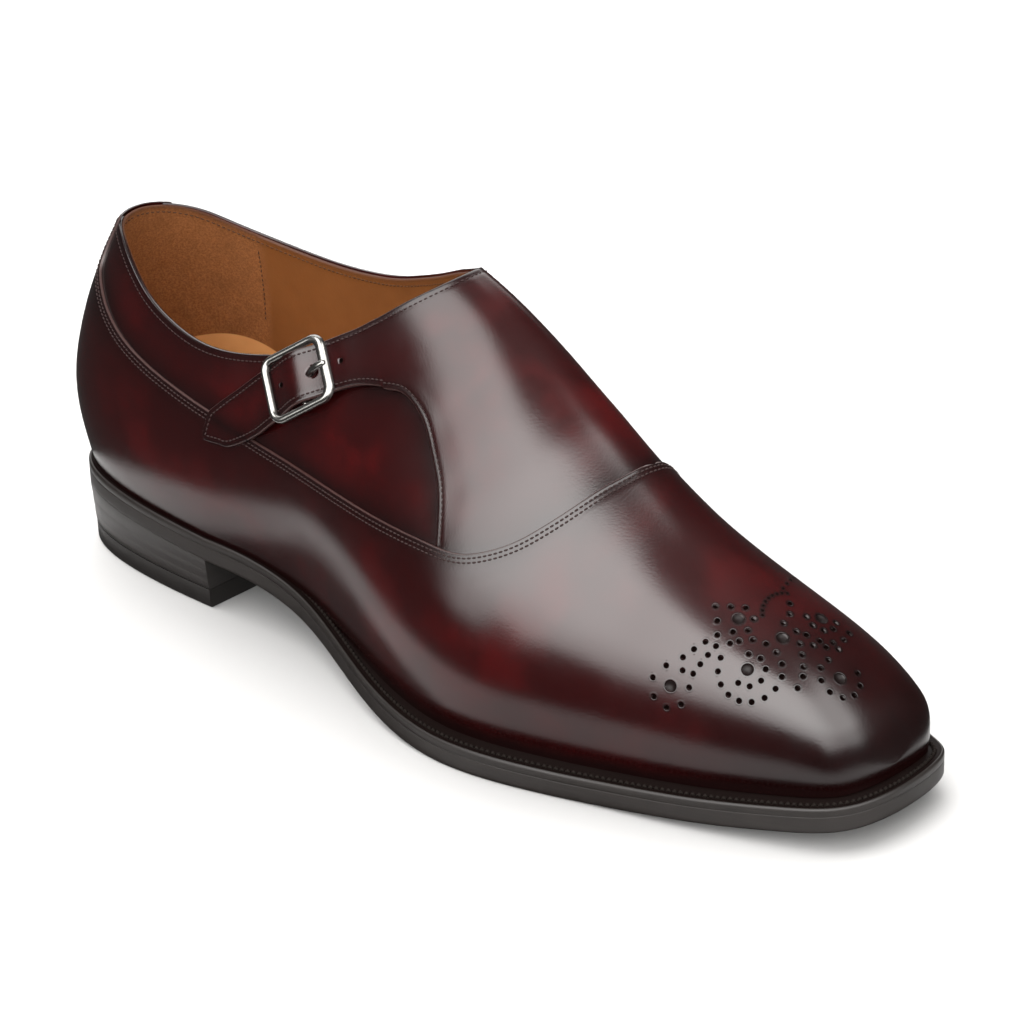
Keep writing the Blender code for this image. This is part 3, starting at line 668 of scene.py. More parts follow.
# Turn, side and radius of the holes; one that would lie too near an earlier one is left out.
def medallionHoles():
    spots = [(ahead, across, medallion["big"]) for ahead, across in medallion["rosettes"]]
    for ahead, across, radius, first, final, count, size in medallion["loops"]:
        at = np.radians(np.linspace(first, final, count))
        spots += [(ahead + radius * np.cos(a), across + radius * np.sin(a), medallion[size]) for a in at]
    for ahead, across, toAhead, toAcross, count, size in medallion["rows"]:
        share = np.linspace(0, 1, count)
        spots += [
            (ahead + (toAhead - ahead) * t, across + (toAcross - across) * t, medallion[size]) for t in share
        ]
    kept = []
    for spot in spots:
        gaps = (
            np.hypot(spot[0] - other[0], spot[1] - other[1]) - spot[2] - other[2] for other in kept
        )
        if all(gap > medallion["between"] for gap in gaps):
            kept.append(spot)
    spots = np.array(kept)
    start = (medallion["turn"], medallion["side"])
    axes = planAxes(upperSurface(*start), upperNormal(*start), np.array(medallion["ahead"]))
    turn, side = charted(axes, start, spots[:, 0], spots[:, 1], 2 / 3)
    return np.stack([turn, side, spots[:, 2]], -1)


# Sinks the surface inside round holes: grid points near a rim move onto it along the surface.
def pierce(turns, sides, holes):
    depth = np.zeros(turns.shape)
    for turn, side, radius in holes:
        byTurn, bySide = slopes(turn, side)
        near = (np.abs(turns - turn) < 6) & (np.abs(sides - side) < 0.14)
        aheadBy, asideBy = turns[near] - turn, sides[near] - side
        away = np.linalg.norm(aheadBy[:, None] * byTurn + asideBy[:, None] * bySide, axis=1)
        snap = np.abs(away - radius) < 0.24
        factor = np.where(snap, radius / np.maximum(away, 1e-6), 1.0)
        turns[near] = turn + aheadBy * factor
        sides[near] = side + asideBy * factor
        away = away * factor
        depth[near] = np.maximum(depth[near], np.clip((radius - away) / 0.3, 0, 1))
    return turns, sides, depth


# Distance from a punched hole's edge and height of each ring of its rim and cup.
holeRings = (
    (0.72, -0.02), (0.44, 0.012), (0.2, 0.012), (0.05, 0.004), (0.0, -0.03), (-0.06, -0.2), (-0.1, -0.5),
)
# how dark each ring and the middle are, in a small hole and in a wide one: painted shade inside the hole
smallDark = (0, 0, 0, 0.15, 0.9, 1, 1, 1)
wideDark = (0, 0, 0, 0.15, 0.9, 1, 0.75, 0.6)


# Round rims and dark cups for punched holes, each ring carried along the surface.
def makeRims(name, holes, lifts, ring=22):
    turn, side, radius = (holes[:, k, None, None] for k in range(3))
    first = unit(slopes(turn, side)[0])
    second = np.cross(upperNormal(turn, side), first)
    around = np.linspace(0, 2 * np.pi, ring + 1)[None, None, :, None]
    wide, high = (np.array(holeRings)[:, k][None, :, None] for k in (0, 1))
    wide = np.concatenate([wide, wide[:, -1:]], 1)
    high = np.concatenate([high, high[:, -1:]], 1)
    reach = np.maximum(radius + wide, 0.05)
    reach[:, -1] = 0
    high = np.where(radius < pinBelow, np.maximum(high, 0.01), high) * np.ones_like(reach)
    high = np.where(np.broadcast_to(wide, high.shape) == holeRings[0][0], holeRings[0][1], high)
    aim = reach[..., None] * (first * np.cos(around) + second * np.sin(around))
    points = lifted(*stepped(turn, side, aim), high + lifts[:, None, None])
    count, rows, columns = points.shape[:3]
    one = gridQuads(rows, columns)[:, ::-1]
    quads = (one[None] + rows * columns * np.arange(count)[:, None, None]).reshape(-1, 4)
    # painted shade: each hole's cup and middle are painted dark, less at the bottom of a wide hole
    small, large = (np.array(row)[None, :, None] for row in (smallDark, wideDark))
    dark = np.where(radius > 1.2, large, small) * np.ones(points.shape[:3])
    # the rims take half of that darkening, burnish and painted shade round each hole
    return newPiece(name, points, quads, {"pierced": dark, "rawEdge": 0 * dark, "shade": 0 * dark + 0.5})


# The quarter on the outer side, which runs on under the strap, the saddle and the vamp.
quarter = {
    "thickness": 1.0, "sink": 0.45,
    # turn, and rise of its top edge where the strap and the saddle hide it
    "hiddenTop": (
        (70, 0.80), (80, 0.765), (84, 0.75), (90, 0.755), (95, 0.735), (99, 0.69), (102, 0.64), (104.5, 0.605),
    ),
}

# The arch's edge on the saddle, from the strap to the seam: turn and rise.
archEdge = (
    (84.5, 0.683), (86.9, 0.697), (88.6, 0.708), (90.2, 0.712), (92, 0.708), (93.5, 0.70),
    (95, 0.684), (96.6, 0.663), (98, 0.64), (99, 0.608), (99.6, 0.575), (100, 0.553),
)


# Even points on a spline through the arch's edge.
def archCurve(spacing):
    rows = np.array(archEdge)
    step = np.arange(len(rows))
    fine = np.linspace(0, len(rows) - 1, 300)
    return curveThrough(spline(step, rows[:, 0])(fine), 1 - spline(step, rows[:, 1])(fine), spacing)


archLine = upperSurface(*archCurve(0.8)[1:])


# The quarter: columns from under the vamp up to the collar or, further on, under the saddle.
def makeQuarter():
    turn = np.concatenate([np.linspace(9, 74, 80), np.linspace(75, 104.5, 50)])
    rows = np.array(quarter["hiddenTop"])
    hidden = 1 - spline(rows[:, 0], rows[:, 1])(turn)
    collarSides = collarAt(compassAt(np.minimum(turn, 86), 1))[1]
    mix = smoothStep(turn, 70, 76)
    top = np.maximum(collarSides + 0.02 * mix, hidden * (turn > 70))
    feet = np.linspace(outerCorner, 112, 400)
    seamAt = outerSeam(feet)
    low = np.interp(turn, seamAt[0], seamAt[1]) + 0.075
    low[turn < 20] = np.interp(turn[turn < 20], (9, 20), (0.5, low[turn >= 20][0]))
    length = np.linalg.norm(upperSurface(turn, top) - upperSurface(turn, low), axis=1)
    fromEdge = (0, 0.12, 0.28, 0.5, 0.8, 1.2, 1.7, 2.2, 2.8, 3.4, 4.2)
    shares = rowShares(length, (0, 1.5, 3, 4.5, 6), fromEdge, 22)
    edges = (turn, low), (turn, top)
    turns, sides = ruled(*edges, shares)
    base = upperSurface(turns, sides)
    seamAway, archAway = distanceFrom(base, seamLine), distanceFrom(base, archLine)
    rim = distanceFrom(base, collarLine)
    beyond = sides > low[:, None] - 0.075
    bySeam = np.where(beyond, 1, underSeam(seamAway))
    sunk = quarter["sink"] * (bySeam + (1 - smoothStep(archAway, 0, 24)))
    lift = -sunk - edgeDrop(rim, collarRound) - trough(rim, collarStitch)
    outer = base + upperNormal(turns, sides) * lift[..., None]
    depth = np.array([0, 0.2, 0.5, 0.8, 0.96, 1.0])[None]
    inner = lifted(*ruled(*edges, depth), -quarter["thickness"] - 0.4)
    # darker by the collar, and by the seam and the arch where the vamp and the saddle lie over it: burnish and
    # painted shade under their edges
    marks = {
        "rawEdge": 0 * rim,
        "shade": np.exp(-np.minimum(rim / 6, np.minimum(seamAway, archAway) / 5)),
        "pierced": 0 * rim,
    }
    return wall("outerQuarter", outer, inner, False, None, marks)


# The saddle and its strap are one piece, from the strap's tip over the instep to the inner heel.
saddle = {
    "strapThickness": 1.7, "thickness": 1.0, "edgeRadius": 0.55, "archLift": 0.3, "roll": 0.3,
    "sink": 0.45, "under": 6.0, "stitchInset": 1.6, "bow": 8.0, "holeDepth": 1.2,
    # like the vamp's folds
    "folds": (
        (97, 0.24, 25, 14, 4.5, -0.13), (102, 0.3, 30, 15, 4.5, -0.12),
        (108, 0.2, 15, 22, 6, 0.12), (104, -0.2, -10, 20, 6, -0.12),
    ),
    # fine wrinkles where the strap bends into the buckle: middle, spread, spacing, depth
    "wrinkles": (15.5, 5.0, 1.25, 0.055),
    # along the strap from the buckle's middle, its upper and lower edge across, lift of its underside
    "strap": (
        (28.0, 8.4, -11.7, 0.3), (22.0, 7.7, -9.2, 0.5), (16.0, 7.6, -8.0, 1.0),
        (10.6, 7.6, -7.6, 1.6), (5.0, 7.6, -7.6, 3.3), (0.0, 7.6, -7.6, 4.7), (-5.0, 7.6, -7.6, 3.7),
        (-10.6, 7.4, -7.8, 2.3), (-16.0, 7.0, -8.1, 1.7), (-22.0, 6.5, -8.3, 0.8),
        (-29.0, 5.8, -7.9, 0.3), (-35.0, 5.1, -7.1, 0.3), (-37.6, 4.7, -6.1, 0.3), (-39.2, 4.1, -5.0, 0.3),
        (-42.0, 1.9, -3.4, 0.3), (-43.9, 0.4, -2.3, 0.3), (-44.7, -0.6, -1.4, 0.3),
    ),
    # along, across and radius of the strap's holes
    "holes": ((-5.4, 0.0, 0.7), (5.9, -0.2, 1.4), (15.6, 0.0, 0.7)),
}
strapRun = saddle["strap"][0][0]  # along the strap's axis, where it becomes the saddle


# Even rows of the strap's table, from its tip: along, upper edge, lower edge, lift.
def strapTable():
    rows = np.array(saddle["strap"])[::-1]
    step = np.arange(len(rows))
    fine = np.linspace(0, len(rows) - 1, 600)
    along, top, low, lift = (spline(step, column)(fine) for column in rows.T)
    even = np.linspace(along[0], strapRun, 150)
    return [even] + [np.interp(even, along, values) for values in (top, low, lift)]


# The saddle's two edges as matched places: its strap, then the collar against the arch and the seam.
def saddleLines():
    along, top, low, lift = strapTable()
    topTurn, topSide = underStrap(along, top)
    lowTurn, lowSide = underStrap(along, low)
    startCompass = compassAt(topTurn[-1], 1)
    edgeCompass = np.linspace(startCompass, -90, 3000)
    turn, side = collarAt(edgeCompass)
    gap = topSide[-1] - side[0]
    length = runningLength(upperSurface(turn, side))
    side = side + gap * (1 - smoothStep(length, 0, 12))
    final = np.argmax((edgeCompass < 0) & (turn < innerCorner - 4))
    turn, side, length = turn[:final], side[:final], length[:final]
    throat = np.interp(0, -edgeCompass[:final], length)
    _, archTurn, archSide = archCurve(0.5)
    ahead = archTurn > lowTurn[-1] + 0.3
    archTurn, archSide = archTurn[ahead], archSide[ahead]
    feet = np.linspace(100, 116, 300), np.linspace(116, 25, 900)
    seamT = np.concatenate([outerSeam(feet[0])[0][1:], innerSeam(feet[1])[0], np.linspace(23.4, 17, 30)])
    seamS = np.concatenate([outerSeam(feet[0])[1][1:], innerSeam(feet[1])[1], np.linspace(-0.446, -0.46, 30)])
    edgeTurn = np.concatenate([[lowTurn[-1]], archTurn, seamT])
    edgeSide = np.concatenate([[lowSide[-1]], archSide, seamS])
    even, edgeTurn, edgeSide = curveThrough(edgeTurn, edgeSide, 1.0)
    archEnd = even[np.argmin(np.abs(edgeTurn - 100) + 50 * np.abs(edgeSide - 0.447))]
    apex = even[np.argmin(np.abs(edgeSide) + 0.01 * np.abs(edgeTurn - 116))]
    matched = np.interp(even, (0, archEnd, apex, even[-1]), (0, throat * 0.9, throat, length[-1]))
    under = smoothStep(even, archEnd + 0.5, archEnd + 7) * saddle["under"]
    bow = saddle["bow"] * smoothStep(even, 0, archEnd) * (1 - smoothStep(even, archEnd, apex))
    return {
        "along": np.concatenate([along, strapRun + even[1:]]),
        "topTurn": np.concatenate([topTurn, np.interp(matched, length, turn)[1:]]),
        "topSide": np.concatenate([topSide, np.interp(matched, length, side)[1:]]),
        "lowTurn": np.concatenate([lowTurn, edgeTurn[1:]]),
        "lowSide": np.concatenate([lowSide, edgeSide[1:]]),
        "lift": np.concatenate([lift, np.full(len(even) - 1, 0.3)]),
        "under": np.concatenate([0 * along, under[1:]]), "bow": np.concatenate([0 * along, bow[1:]]),
    }


# 1 on the strap, falling to 0 over the saddle: by the distance along the strap's own axis, towards
# the crest, and past the strap towards the seam.
def strapFade(place, side, seamAway, along):
    middle, axis, _, _ = buckleAxes()
    nearSeam = (1 - smoothStep(seamAway, 0, 30)) * smoothStep(along, strapRun, strapRun + 20)
    return (1 - smoothStep((place - middle) @ axis, 12, 84)) * smoothStep(side, 0.0, 0.22) * (1 - nearSeam)


# 1 on the arch, falling to 0 near the seam and near the strap.
def onArch(seamAway, along):
    return smoothStep(seamAway, 1, 14) * smoothStep(along, strapRun, strapRun + 17)


# The arch's edge stands up a little, and slopes off over 6 mm.
def rolledEdge(away, seamAway, along):
    return saddle["roll"] * (1 - smoothStep(away, 1, 6)) * onArch(seamAway, along)


# Saddle and strap: columns from the upper edge to the lower one, pierced, rolled at the edges and
# sunk by the seam; under the vamp it runs on past its line.
def makeSaddle():
    lines = saddleLines()
    names = ("topTurn", "topSide", "lowTurn", "lowSide")
    topTurn, topSide, lowTurn, lowSide = (lines[name][:, None] for name in names)
    path = np.linspace(0, 1, 61)

    def across(at):
        bulge = 4 * at * (1 - at) * lines["bow"][:, None]
        return topTurn + (lowTurn - topTurn) * at + bulge, topSide + (lowSide - topSide) * at

    steps = np.linalg.norm(np.diff(upperSurface(*across(path[None])), axis=1), axis=-1)
    run = np.concatenate([0 * topTurn, np.cumsum(steps, axis=1)], 1)
    length = run[:, -1]

    # places at shares of each line's length, carried straight on past its end
    def placesAt(shares):
        at = np.stack([np.interp(part * line[-1], line, path) for part, line in zip(shares, run)])
        beyond = np.maximum(shares - 1, 0) * length[:, None] / (60 * steps[:, -1:])
        return across(at + beyond)

    fromEdge = (0, 0.1, 0.25, 0.45, 0.75, 1.1, 1.5, 1.9, 2.4, 3.0, 3.7)
    shares = rowShares(length, fromEdge, fromEdge, 24)
    shares = shares * (1 + lines["under"] / length)[:, None]
    turns, sides = placesAt(shares)
    holes = [(*underStrap(*hole), radius + holeSlack) for *hole, radius in saddle["holes"]]
    turns, sides, pierced = pierce(turns, sides, holes)
    base = upperSurface(turns, sides)
    along = lines["along"][:, None]
    toTop, toLow = shares * length[:, None], (1 - shares) * length[:, None]
    seamAway, archAway = distanceFrom(base, seamLine), distanceFrom(base, archLine)
    rim = distanceFrom(base, collarLine)
    onStrap = 1 - smoothStep(along, strapRun - 1, strapRun + 1)
    archSide = np.where(along > strapRun, archAway, farAway)
    past = shares > 1
    sunk = np.where(past & (along > strapRun + 12), 1, underSeam(seamAway)) * (1 - onStrap)
    raised = saddle["archLift"] * (1 - smoothStep(archSide, 3, 26)) * onArch(seamAway, along)
    raised += rolledEdge(archSide, seamAway, along)
    strapLift = (lines["lift"] + saddle["strapThickness"])[:, None]
    fade = strapFade(base, sides, seamAway, along)
    flat = strapLift * fade + (raised - saddle["sink"] * sunk) * (1 - fade)
    endDrop = edgeDrop(along - lines["along"][0], 0.5)
    topDrop = edgeDrop(toTop, saddle["edgeRadius"] + 0.3 * (1 - onStrap))
    lowAway = np.where(along < strapRun, toLow, archSide)
    lowDrop = edgeDrop(np.where(past, farAway, lowAway), saddle["edgeRadius"])
    lowDrop = lowDrop * (1 - smoothStep(lines["under"], 1, 5))[:, None]
    lift = flat - topDrop - lowDrop - endDrop - pierced * saddle["holeDepth"]
    edgeAway = np.minimum(np.minimum(toTop, toLow), along - lines["along"][0])
    rawAway = np.where(along < strapRun, edgeAway, archSide)
    topInset = saddle["stitchInset"] + (collarStitch - saddle["stitchInset"]) * smoothStep(along, 20, 50)
    lift -= trough(toTop, topInset) + trough(lowAway, saddle["stitchInset"])
    centre, spread, spacing, deep = saddle["wrinkles"]
    bend = np.exp(-(((along - centre) / spread) ** 2)) * smoothStep(edgeAway, 2, 5)
    lift += deep * bend * np.sin(2 * np.pi * (along + 1.1 * np.sin(toTop * 0.9)) / spacing)
    lift += softFolds(turns, sides, saddle["folds"]) * smoothStep(along, 30, 60)
    outer = base + upperNormal(turns, sides) * lift[..., None]
    depth = np.array([0, 0.04, 0.2, 0.5, 0.8, 0.96, 1.0])[None] * (1 + lines["under"] / length)[:, None]
    innerTurns, innerSides = placesAt(depth)
    thick = flat - saddle["strapThickness"] * fade - saddle["thickness"] * (1 - fade)
    flatAt = np.stack([np.interp(d, s, f) for d, s, f in zip(depth, shares, thick)])
    inner = lifted(innerTurns, innerSides, flatAt)
    # darker by the collar, the seam and its own edges: burnish and painted shade
    marks = {
        # the raw edge painted lighter, partly its own colour and partly a painted highlight on the rounded
        # edge
        "rawEdge": np.exp(-((rawAway / 0.22) ** 2)) * (seamAway > 0.4),
        "shade": np.exp(-np.minimum(np.minimum(rim / 6, seamAway / 5), rawAway / 4)),
        "pierced": pierced,
    }
    piece = wall("saddleAndStrap", outer, inner, False, None, marks)
    piece.data.flip_normals()  # its rows run down, not up
    return piece


lining = {
    "outside": 1.2, "inside": 2.2, "gripEnd": 42.0, "gripCurve": 2.5, "collarDrop": 0.35,
    # radius of its upper edge, and the foot angle under the throat
    "edgeRadius": 0.45, "throatFoot": 93.0,
    # the sock's turned-up edge: its height, where it is highest, and its curve
    "sockHeight": 55.2, "sockMiddle": 25.0, "sockCurve": 0.012,
}


# The lining follows the whole inside; its top edge runs along the collar as far as the throat.
def makeLining():
    half = np.concatenate([np.linspace(0, 100, 101), np.linspace(102, 180, 40)])
    foot = wholeRing(half)
    size = np.abs(foot)
    throatFoot = lining["throatFoot"]
    turn, side = np.zeros(len(foot)), np.zeros(len(foot))
    footLine = np.linspace(0, throatFoot, 500)
    for sign in (1, -1):
        mine = (foot >= 0) if sign > 0 else (foot < 0)
        run = runningLength(upperSurface(footLine, float(sign)))
        share = np.interp(size[mine], footLine, run / run[-1])
        compass = sign * np.linspace(90, 0, 700)
        rimRun = runningLength(upperSurface(*collarAt(compass)))
        turn[mine], side[mine] = collarAt(np.interp(share * rimRun[-1], rimRun, compass))
    front = size > throatFoot
    turn[front] = throatTurn + (size[front] - throatFoot) * (180 - throatTurn) / (180 - throatFoot)
    side[front] = 0
    openTop = size <= throatFoot
    lowSide = np.where(foot >= 0, 0.99, -0.99)
    length = np.linalg.norm(upperSurface(turn, side) - upperSurface(size, lowSide), axis=1)
    shares = rowShares(length, (0, 2, 4), (0, 0.25, 0.6, 1.0, 1.6, 2.4, 3.6), 26)
    turns, sides = ruled((size, lowSide), (turn, side), shares)
    base = upperSurface(turns, sides)
    rim = np.where(openTop[:, None], distanceFrom(base, collarLine), farAway)
    drop = edgeDrop(rim, lining["edgeRadius"])
    lift = -lining["inside"] + drop + trough(rim, collarStitch)
    inner = base + upperNormal(turns, sides) * lift[..., None]
    outer = base - upperNormal(turns, sides) * (lining["outside"] + 0.4 * drop)[..., None]
    for grid in (inner, outer):
        grid[..., 2] -= lining["collarDrop"] * np.exp(-rim / 2)
    outer, inner = meetAtCrest(outer, half), meetAtCrest(inner, half)
    ends = lining["gripEnd"] + lining["gripCurve"] * np.cos(np.pi * np.abs(sides))
    grip = 1 - smoothStep(turns, ends - 0.4, ends + 0.4)
    marks = {"grip": grip, "rim": np.exp(-rim / 0.9)}
    return wall("lining", outer, inner, True, openTop, marks, marks)


# A ring of the sole's outline at one inset, height above its underside.
def levelRing(angle, inset, height):
    place, _ = outline(angle, inset + 0 * angle)
    return np.column_stack([place, soleBottom(place[:, 0]) + height])


# A plate closed by ladders from side to side: rings of (inset, height) down or up its edge.
def plate(name, rings, steps, across=12):
    half = np.linspace(0, 180, steps // 2 + 1)
    edge = np.stack([levelRing(wholeRing(half), inset, up) for inset, up in rings], 1)
    grids = [(edge, True, False)]
    tip = len(half) - 1
    for row, flipped in ((-1, False), (0, True)):
        line, up = edge[:, row], rings[row][1]
        back = np.concatenate([line[:1], line[:tip:-1], line[tip:tip + 1]])
        grids.append((ladder(line[:tip + 1], back, lambda x: soleBottom(x) + up, across), False, flipped))
    return pieceOf(name, grids, sharp=edgeAngle)


edgeAngle = 40  # degrees from which an edge of the sole or the heel stays sharp

outsole = {
    # inset and height of its edge, from the tread up
    "edge": (
        (3.2, 0.0), (1.6, 0.0), (0.55, 0.04), (0.2, 0.25), (0.04, 0.7), (0.0, 1.4),
        (0.0, 2.5), (0.0, 3.6), (0.0, 4.6), (0.0, 4.97), (0.02, 5.0), (2.5, 5.0),
    ),
}

# The welt and, behind the ring angle of its end, the heel's rand.
welt = {
    "end": 60.0, "grip": 2.0, "stitchInset": 2.65, "stitchHeight": 7.12,
    # inset and height of its edge, from the sole up; topFrom is the first one on its upper side
    "edge": (
        (0.5, 5.01), (0.02, 5.01), (0.0, 5.04), (0.0, 6.7), (0.05, 6.98), (0.2, 7.26), (0.42, 7.44),
        (0.62, 7.5), (0.85, 7.4), (1.4, 7.28), (2.3, 7.1), (3.0, 7.1), (3.6, 7.3),
    ),
    "topFrom": 8,
    # heights of its reach under the upper
    "reach": (7.45, 5.28),
}


# A strip between the sole and the upper: its section's outer points, then the reach under the upper.
def makeEdgeStrip(name, angle, edge):
    reach = ledge(angle) + welt["grip"]
    rings = [levelRing(angle, np.minimum(inset, reach - 0.5), up) for inset, up in edge]
    rings += [levelRing(angle, reach, up) for up in welt["reach"]]
    loops = np.stack(rings + rings[:1], 1)
    columns, rows = loops.shape[:2]
    top = np.zeros((columns, rows))
    top[:, welt["topFrom"]:rows - 2] = 1
    ends = [list(range(rows - 1)), [(columns - 1) * rows + j for j in range(rows - 1)][::-1]]
    return newPiece(name, loops, gridQuads(columns, rows), {"top": top}, ends, sharp=edgeAngle)


heel = {
    "topPiece": 6.0, "taper": 1.2, "topInset": 0.03, "lifts": 3, "lineDepth": 0.02,
    # of the wearing lift: inset beyond the taper and height, from the tread up
    "tread": (
        (2.4, 0.0), (0.9, 0.0), (0.3, 0.25), (0.0, 0.9), (-0.05, 3.2), (-0.1, 5.8), (-0.02, 5.98),
        (0.5, 6.0), (2.4, 6.0),
    ),
}


# The heel's back and sides, closed by a flat breast: rings of (inset, height at x).
def makeHeelPiece(name, rings, steps=150, across=10):
    breast = np.degrees(np.arccos(1 - 2 * last["heelLength"] / last["length"]))
    angle = np.linspace(-breast, breast, steps + 1)
    edge = []
    for inset, height in rings:
        place, _ = outline(angle, inset + 0 * angle)
        place[[0, -1], 0] = last["heelLength"]
        edge.append(np.column_stack([place, height(place[:, 0])]))
    edge = np.stack(edge, 1)
    front = edge[-1] + (edge[0] - edge[-1]) * np.linspace(0, 1, across + 1)[:, None, None]
    grids = [(edge, False, False), (front, False, False)]
    middle = steps // 2
    for row, flipped in ((-1, False), (0, True)):
        line = edge[:, row]
        grids.append((ladder(line[middle:], line[middle::-1], rings[row][1], across), False, flipped))
    return pieceOf(name, grids, sharp=edgeAngle)


# The heel: its wearing lift, and the stack, whose lifts taper evenly with a fine line between them.
def makeHeel():
    def level(height):
        return lambda x: height + 0 * x

    def between(share):
        return lambda x: heel["topPiece"] + 0.12 + share * (soleBottom(x) - 0.24 - heel["topPiece"])

    def underSole(rise):
        return lambda x: soleBottom(x) + rise

    taper = heel["taper"]
    top = makeHeelPiece("heelTopPiece", [(taper + inset, level(up)) for inset, up in heel["tread"]])
    rings = [(taper + 2.0, between(0.0)), (taper + 0.1, between(0.0)), (taper - 0.12, between(0.02))]
    for k in range(heel["lifts"]):
        low, high = k / heel["lifts"], (k + 1) / heel["lifts"]
        start, end = taper - 0.15 - (taper - 0.15 - heel["topInset"]) * np.array([low, high])
        if k:
            rings += [(start + heel["lineDepth"], between(low)), (start, between(low + 0.03))]
        rings += [((start + end) / 2 - 0.03, between((low + high) / 2)), (end, between(high - 0.03))]
    rings += [(heel["topInset"], underSole(0.5)), (0.6, underSole(0.52)), (3.0, underSole(0.52))]
    return top, makeHeelPiece("heelStack", rings)


# A round rod along points: rings across its path, closed by a point at each end.
def rod(path, radii, across, flat=1.0, ring=10):
    aside = unit(across)
    up = flat * unit(np.cross(aside, unit(np.gradient(path, axis=0))))
    around = np.linspace(0, 2 * np.pi, ring + 1)[:, None]
    radii = np.asarray(radii)[:, None, None]
    body = path[:, None] + radii * (aside[:, None] * np.cos(around) + up[:, None] * np.sin(around))
    ends = np.stack([np.repeat(path[:1], ring + 1, 0), np.repeat(path[-1:], ring + 1, 0)])
    return np.concatenate([ends[:1], body, ends[1:]])


# Four quarter circles joined by straight lines, anticlockwise from the front corner across.
def roundedLoop(corners):
    rows = []
    for corner, following in zip(corners, corners[1:] + corners[:1]):
        share = np.linspace(0, 1, 14)[1:-1, None]
        rows += [corner, corner[-1] + (following[0] - corner[-1]) * share]
    return np.concatenate(rows)


# The frame: a domed section carried round a rectangle with round corners, broader along the front.
def makeFrame(middle, along, across, out):
    length, width, corner, bar = (buckle[name] for name in ("length", "width", "corner", "bar"))
    arc = np.linspace(0, np.pi / 2, 17)
    outer, inner = [], []
    for k, (sx, sy) in enumerate(((1, 1), (-1, 1), (-1, -1), (1, -1))):
        at = arc + k * np.pi / 2
        direction = np.stack([np.cos(at), np.sin(at)], -1)
        outer.append(np.array([sx * (length / 2 - corner), sy * (width / 2 - corner)]) + corner * direction)
        barX = buckle["frontBar"] if sx > 0 else bar
        tight = corner - bar
        centre = np.array([sx * (length / 2 - barX - tight), sy * (width / 2 - bar - tight)])
        inner.append(centre + tight * direction)
    outer, inner = roundedLoop(outer), roundedLoop(inner)
    # share of the way in and height: a half-round bar on a flat underside
    half = np.linspace(0, np.pi, 15)
    dome = np.column_stack([(1 - np.cos(half)) / 2, 0.62 * np.sin(half) - 0.12])
    section = np.concatenate([dome, [(0.97, -0.38), (0.84, -0.5), (0.16, -0.5), (0.03, -0.38)]])
    flat = outer[:, None] + (inner - outer)[:, None] * section[None, :, :1]
    up = np.broadcast_to(section[:, 1] * buckle["height"], flat.shape[:2])
    points = middle + flat[..., :1] * along + flat[..., 1:] * across + up[..., None] * out
    return np.concatenate([points, points[:, :1]], 1)


# Frame with its pin, and prong: the buckle's axes are shifted, tilted and swung on the strap first.
def makeBuckle():
    middle, along, across, out = buckleAxes()
    middle = middle + np.array(buckle["shift"]) @ np.stack([along, across, out])
    tilt, swing = np.radians(buckle["tilt"]), np.radians(buckle["swing"])
    along, out = along * np.cos(tilt) - out * np.sin(tilt), out * np.cos(tilt) + along * np.sin(tilt)
    along, across = (
        along * np.cos(swing) + across * np.sin(swing), across * np.cos(swing) - along * np.sin(swing),
    )
    reach = buckle["width"] / 2 - 0.9
    path = middle - out * buckle["pinDrop"] + across * np.linspace(-reach, reach, 9)[:, None]
    pin = rod(path, np.full(9, buckle["pinRadius"]), np.broadcast_to(along, path.shape), ring=16)
    grids = [(makeFrame(middle, along, across, out), True, False), (pin, False, False)]
    rows = np.array(buckle["prong"])
    step = np.linspace(0, len(rows) - 1, 40)
    run, rise = (spline(np.arange(len(rows)), column)(step) for column in rows.T)
    path = middle + run[:, None] * along + rise[:, None] * out
    radii = buckle["prongRadius"] * np.interp(step, *buckle["prongTaper"])
    prong = rod(path, radii, np.broadcast_to(across, path.shape), flat=0.85, ring=16)
    return pieceOf("buckleFrame", grids, sharp=50), pieceOf("buckleProng", [(prong, False, False)], sharp=50)


# One joined mesh of stitches: short round threads that dip at both ends, along a line on the leather.
def stitches(name, lines, spacing, length, radius, ring=6, steps=5, sunk=0.25):
    allPoints, allQuads, start = [], [], 0
    for place, normal in lines:
        run = runningLength(place)
        count = max(2, int(run[-1] / spacing))
        middle = (np.arange(count) + 0.5) * run[-1] / count
        at = middle[:, None] + np.linspace(-0.5, 0.5, steps)[None] * length
        centre, up = (
            np.stack([np.interp(at, run, column) for column in values.T], -1) for values in (place, normal)
        )
        aside = unit(np.cross(unit(centre[:, -1] - centre[:, 0])[:, None], up))
        bow = 1 - np.linspace(-1, 1, steps) ** 2
        centre = centre + up * ((bow * 1.2 - 0.2) * radius * (1 - sunk))[None, :, None]
        thick = radius * (0.55 + 0.45 * np.sqrt(np.clip(bow, 0, 1)))
        around = np.linspace(0, 2 * np.pi, ring, endpoint=False)[:, None]
        rings = centre[:, :, None] + thick[:, None, None] * (
            aside[:, :, None] * np.cos(around) + up[:, :, None] * np.sin(around))
        rings = np.concatenate([rings, rings[:, :, :1]], 2)
        tips = np.repeat(centre[:, [0, -1]][:, :, None], ring + 1, 2)
        grid = np.concatenate([tips[:, :1], rings, tips[:, 1:]], 1)
        one = gridQuads(steps + 2, ring + 1)
        size = (steps + 2) * (ring + 1)
        allPoints.append(grid.reshape(-1, 3))
        allQuads.append((one[None] + start + size * np.arange(count)[:, None, None]).reshape(-1, 4))
        start += size * count
    return newPiece(name, np.concatenate(allPoints), np.concatenate(allQuads))


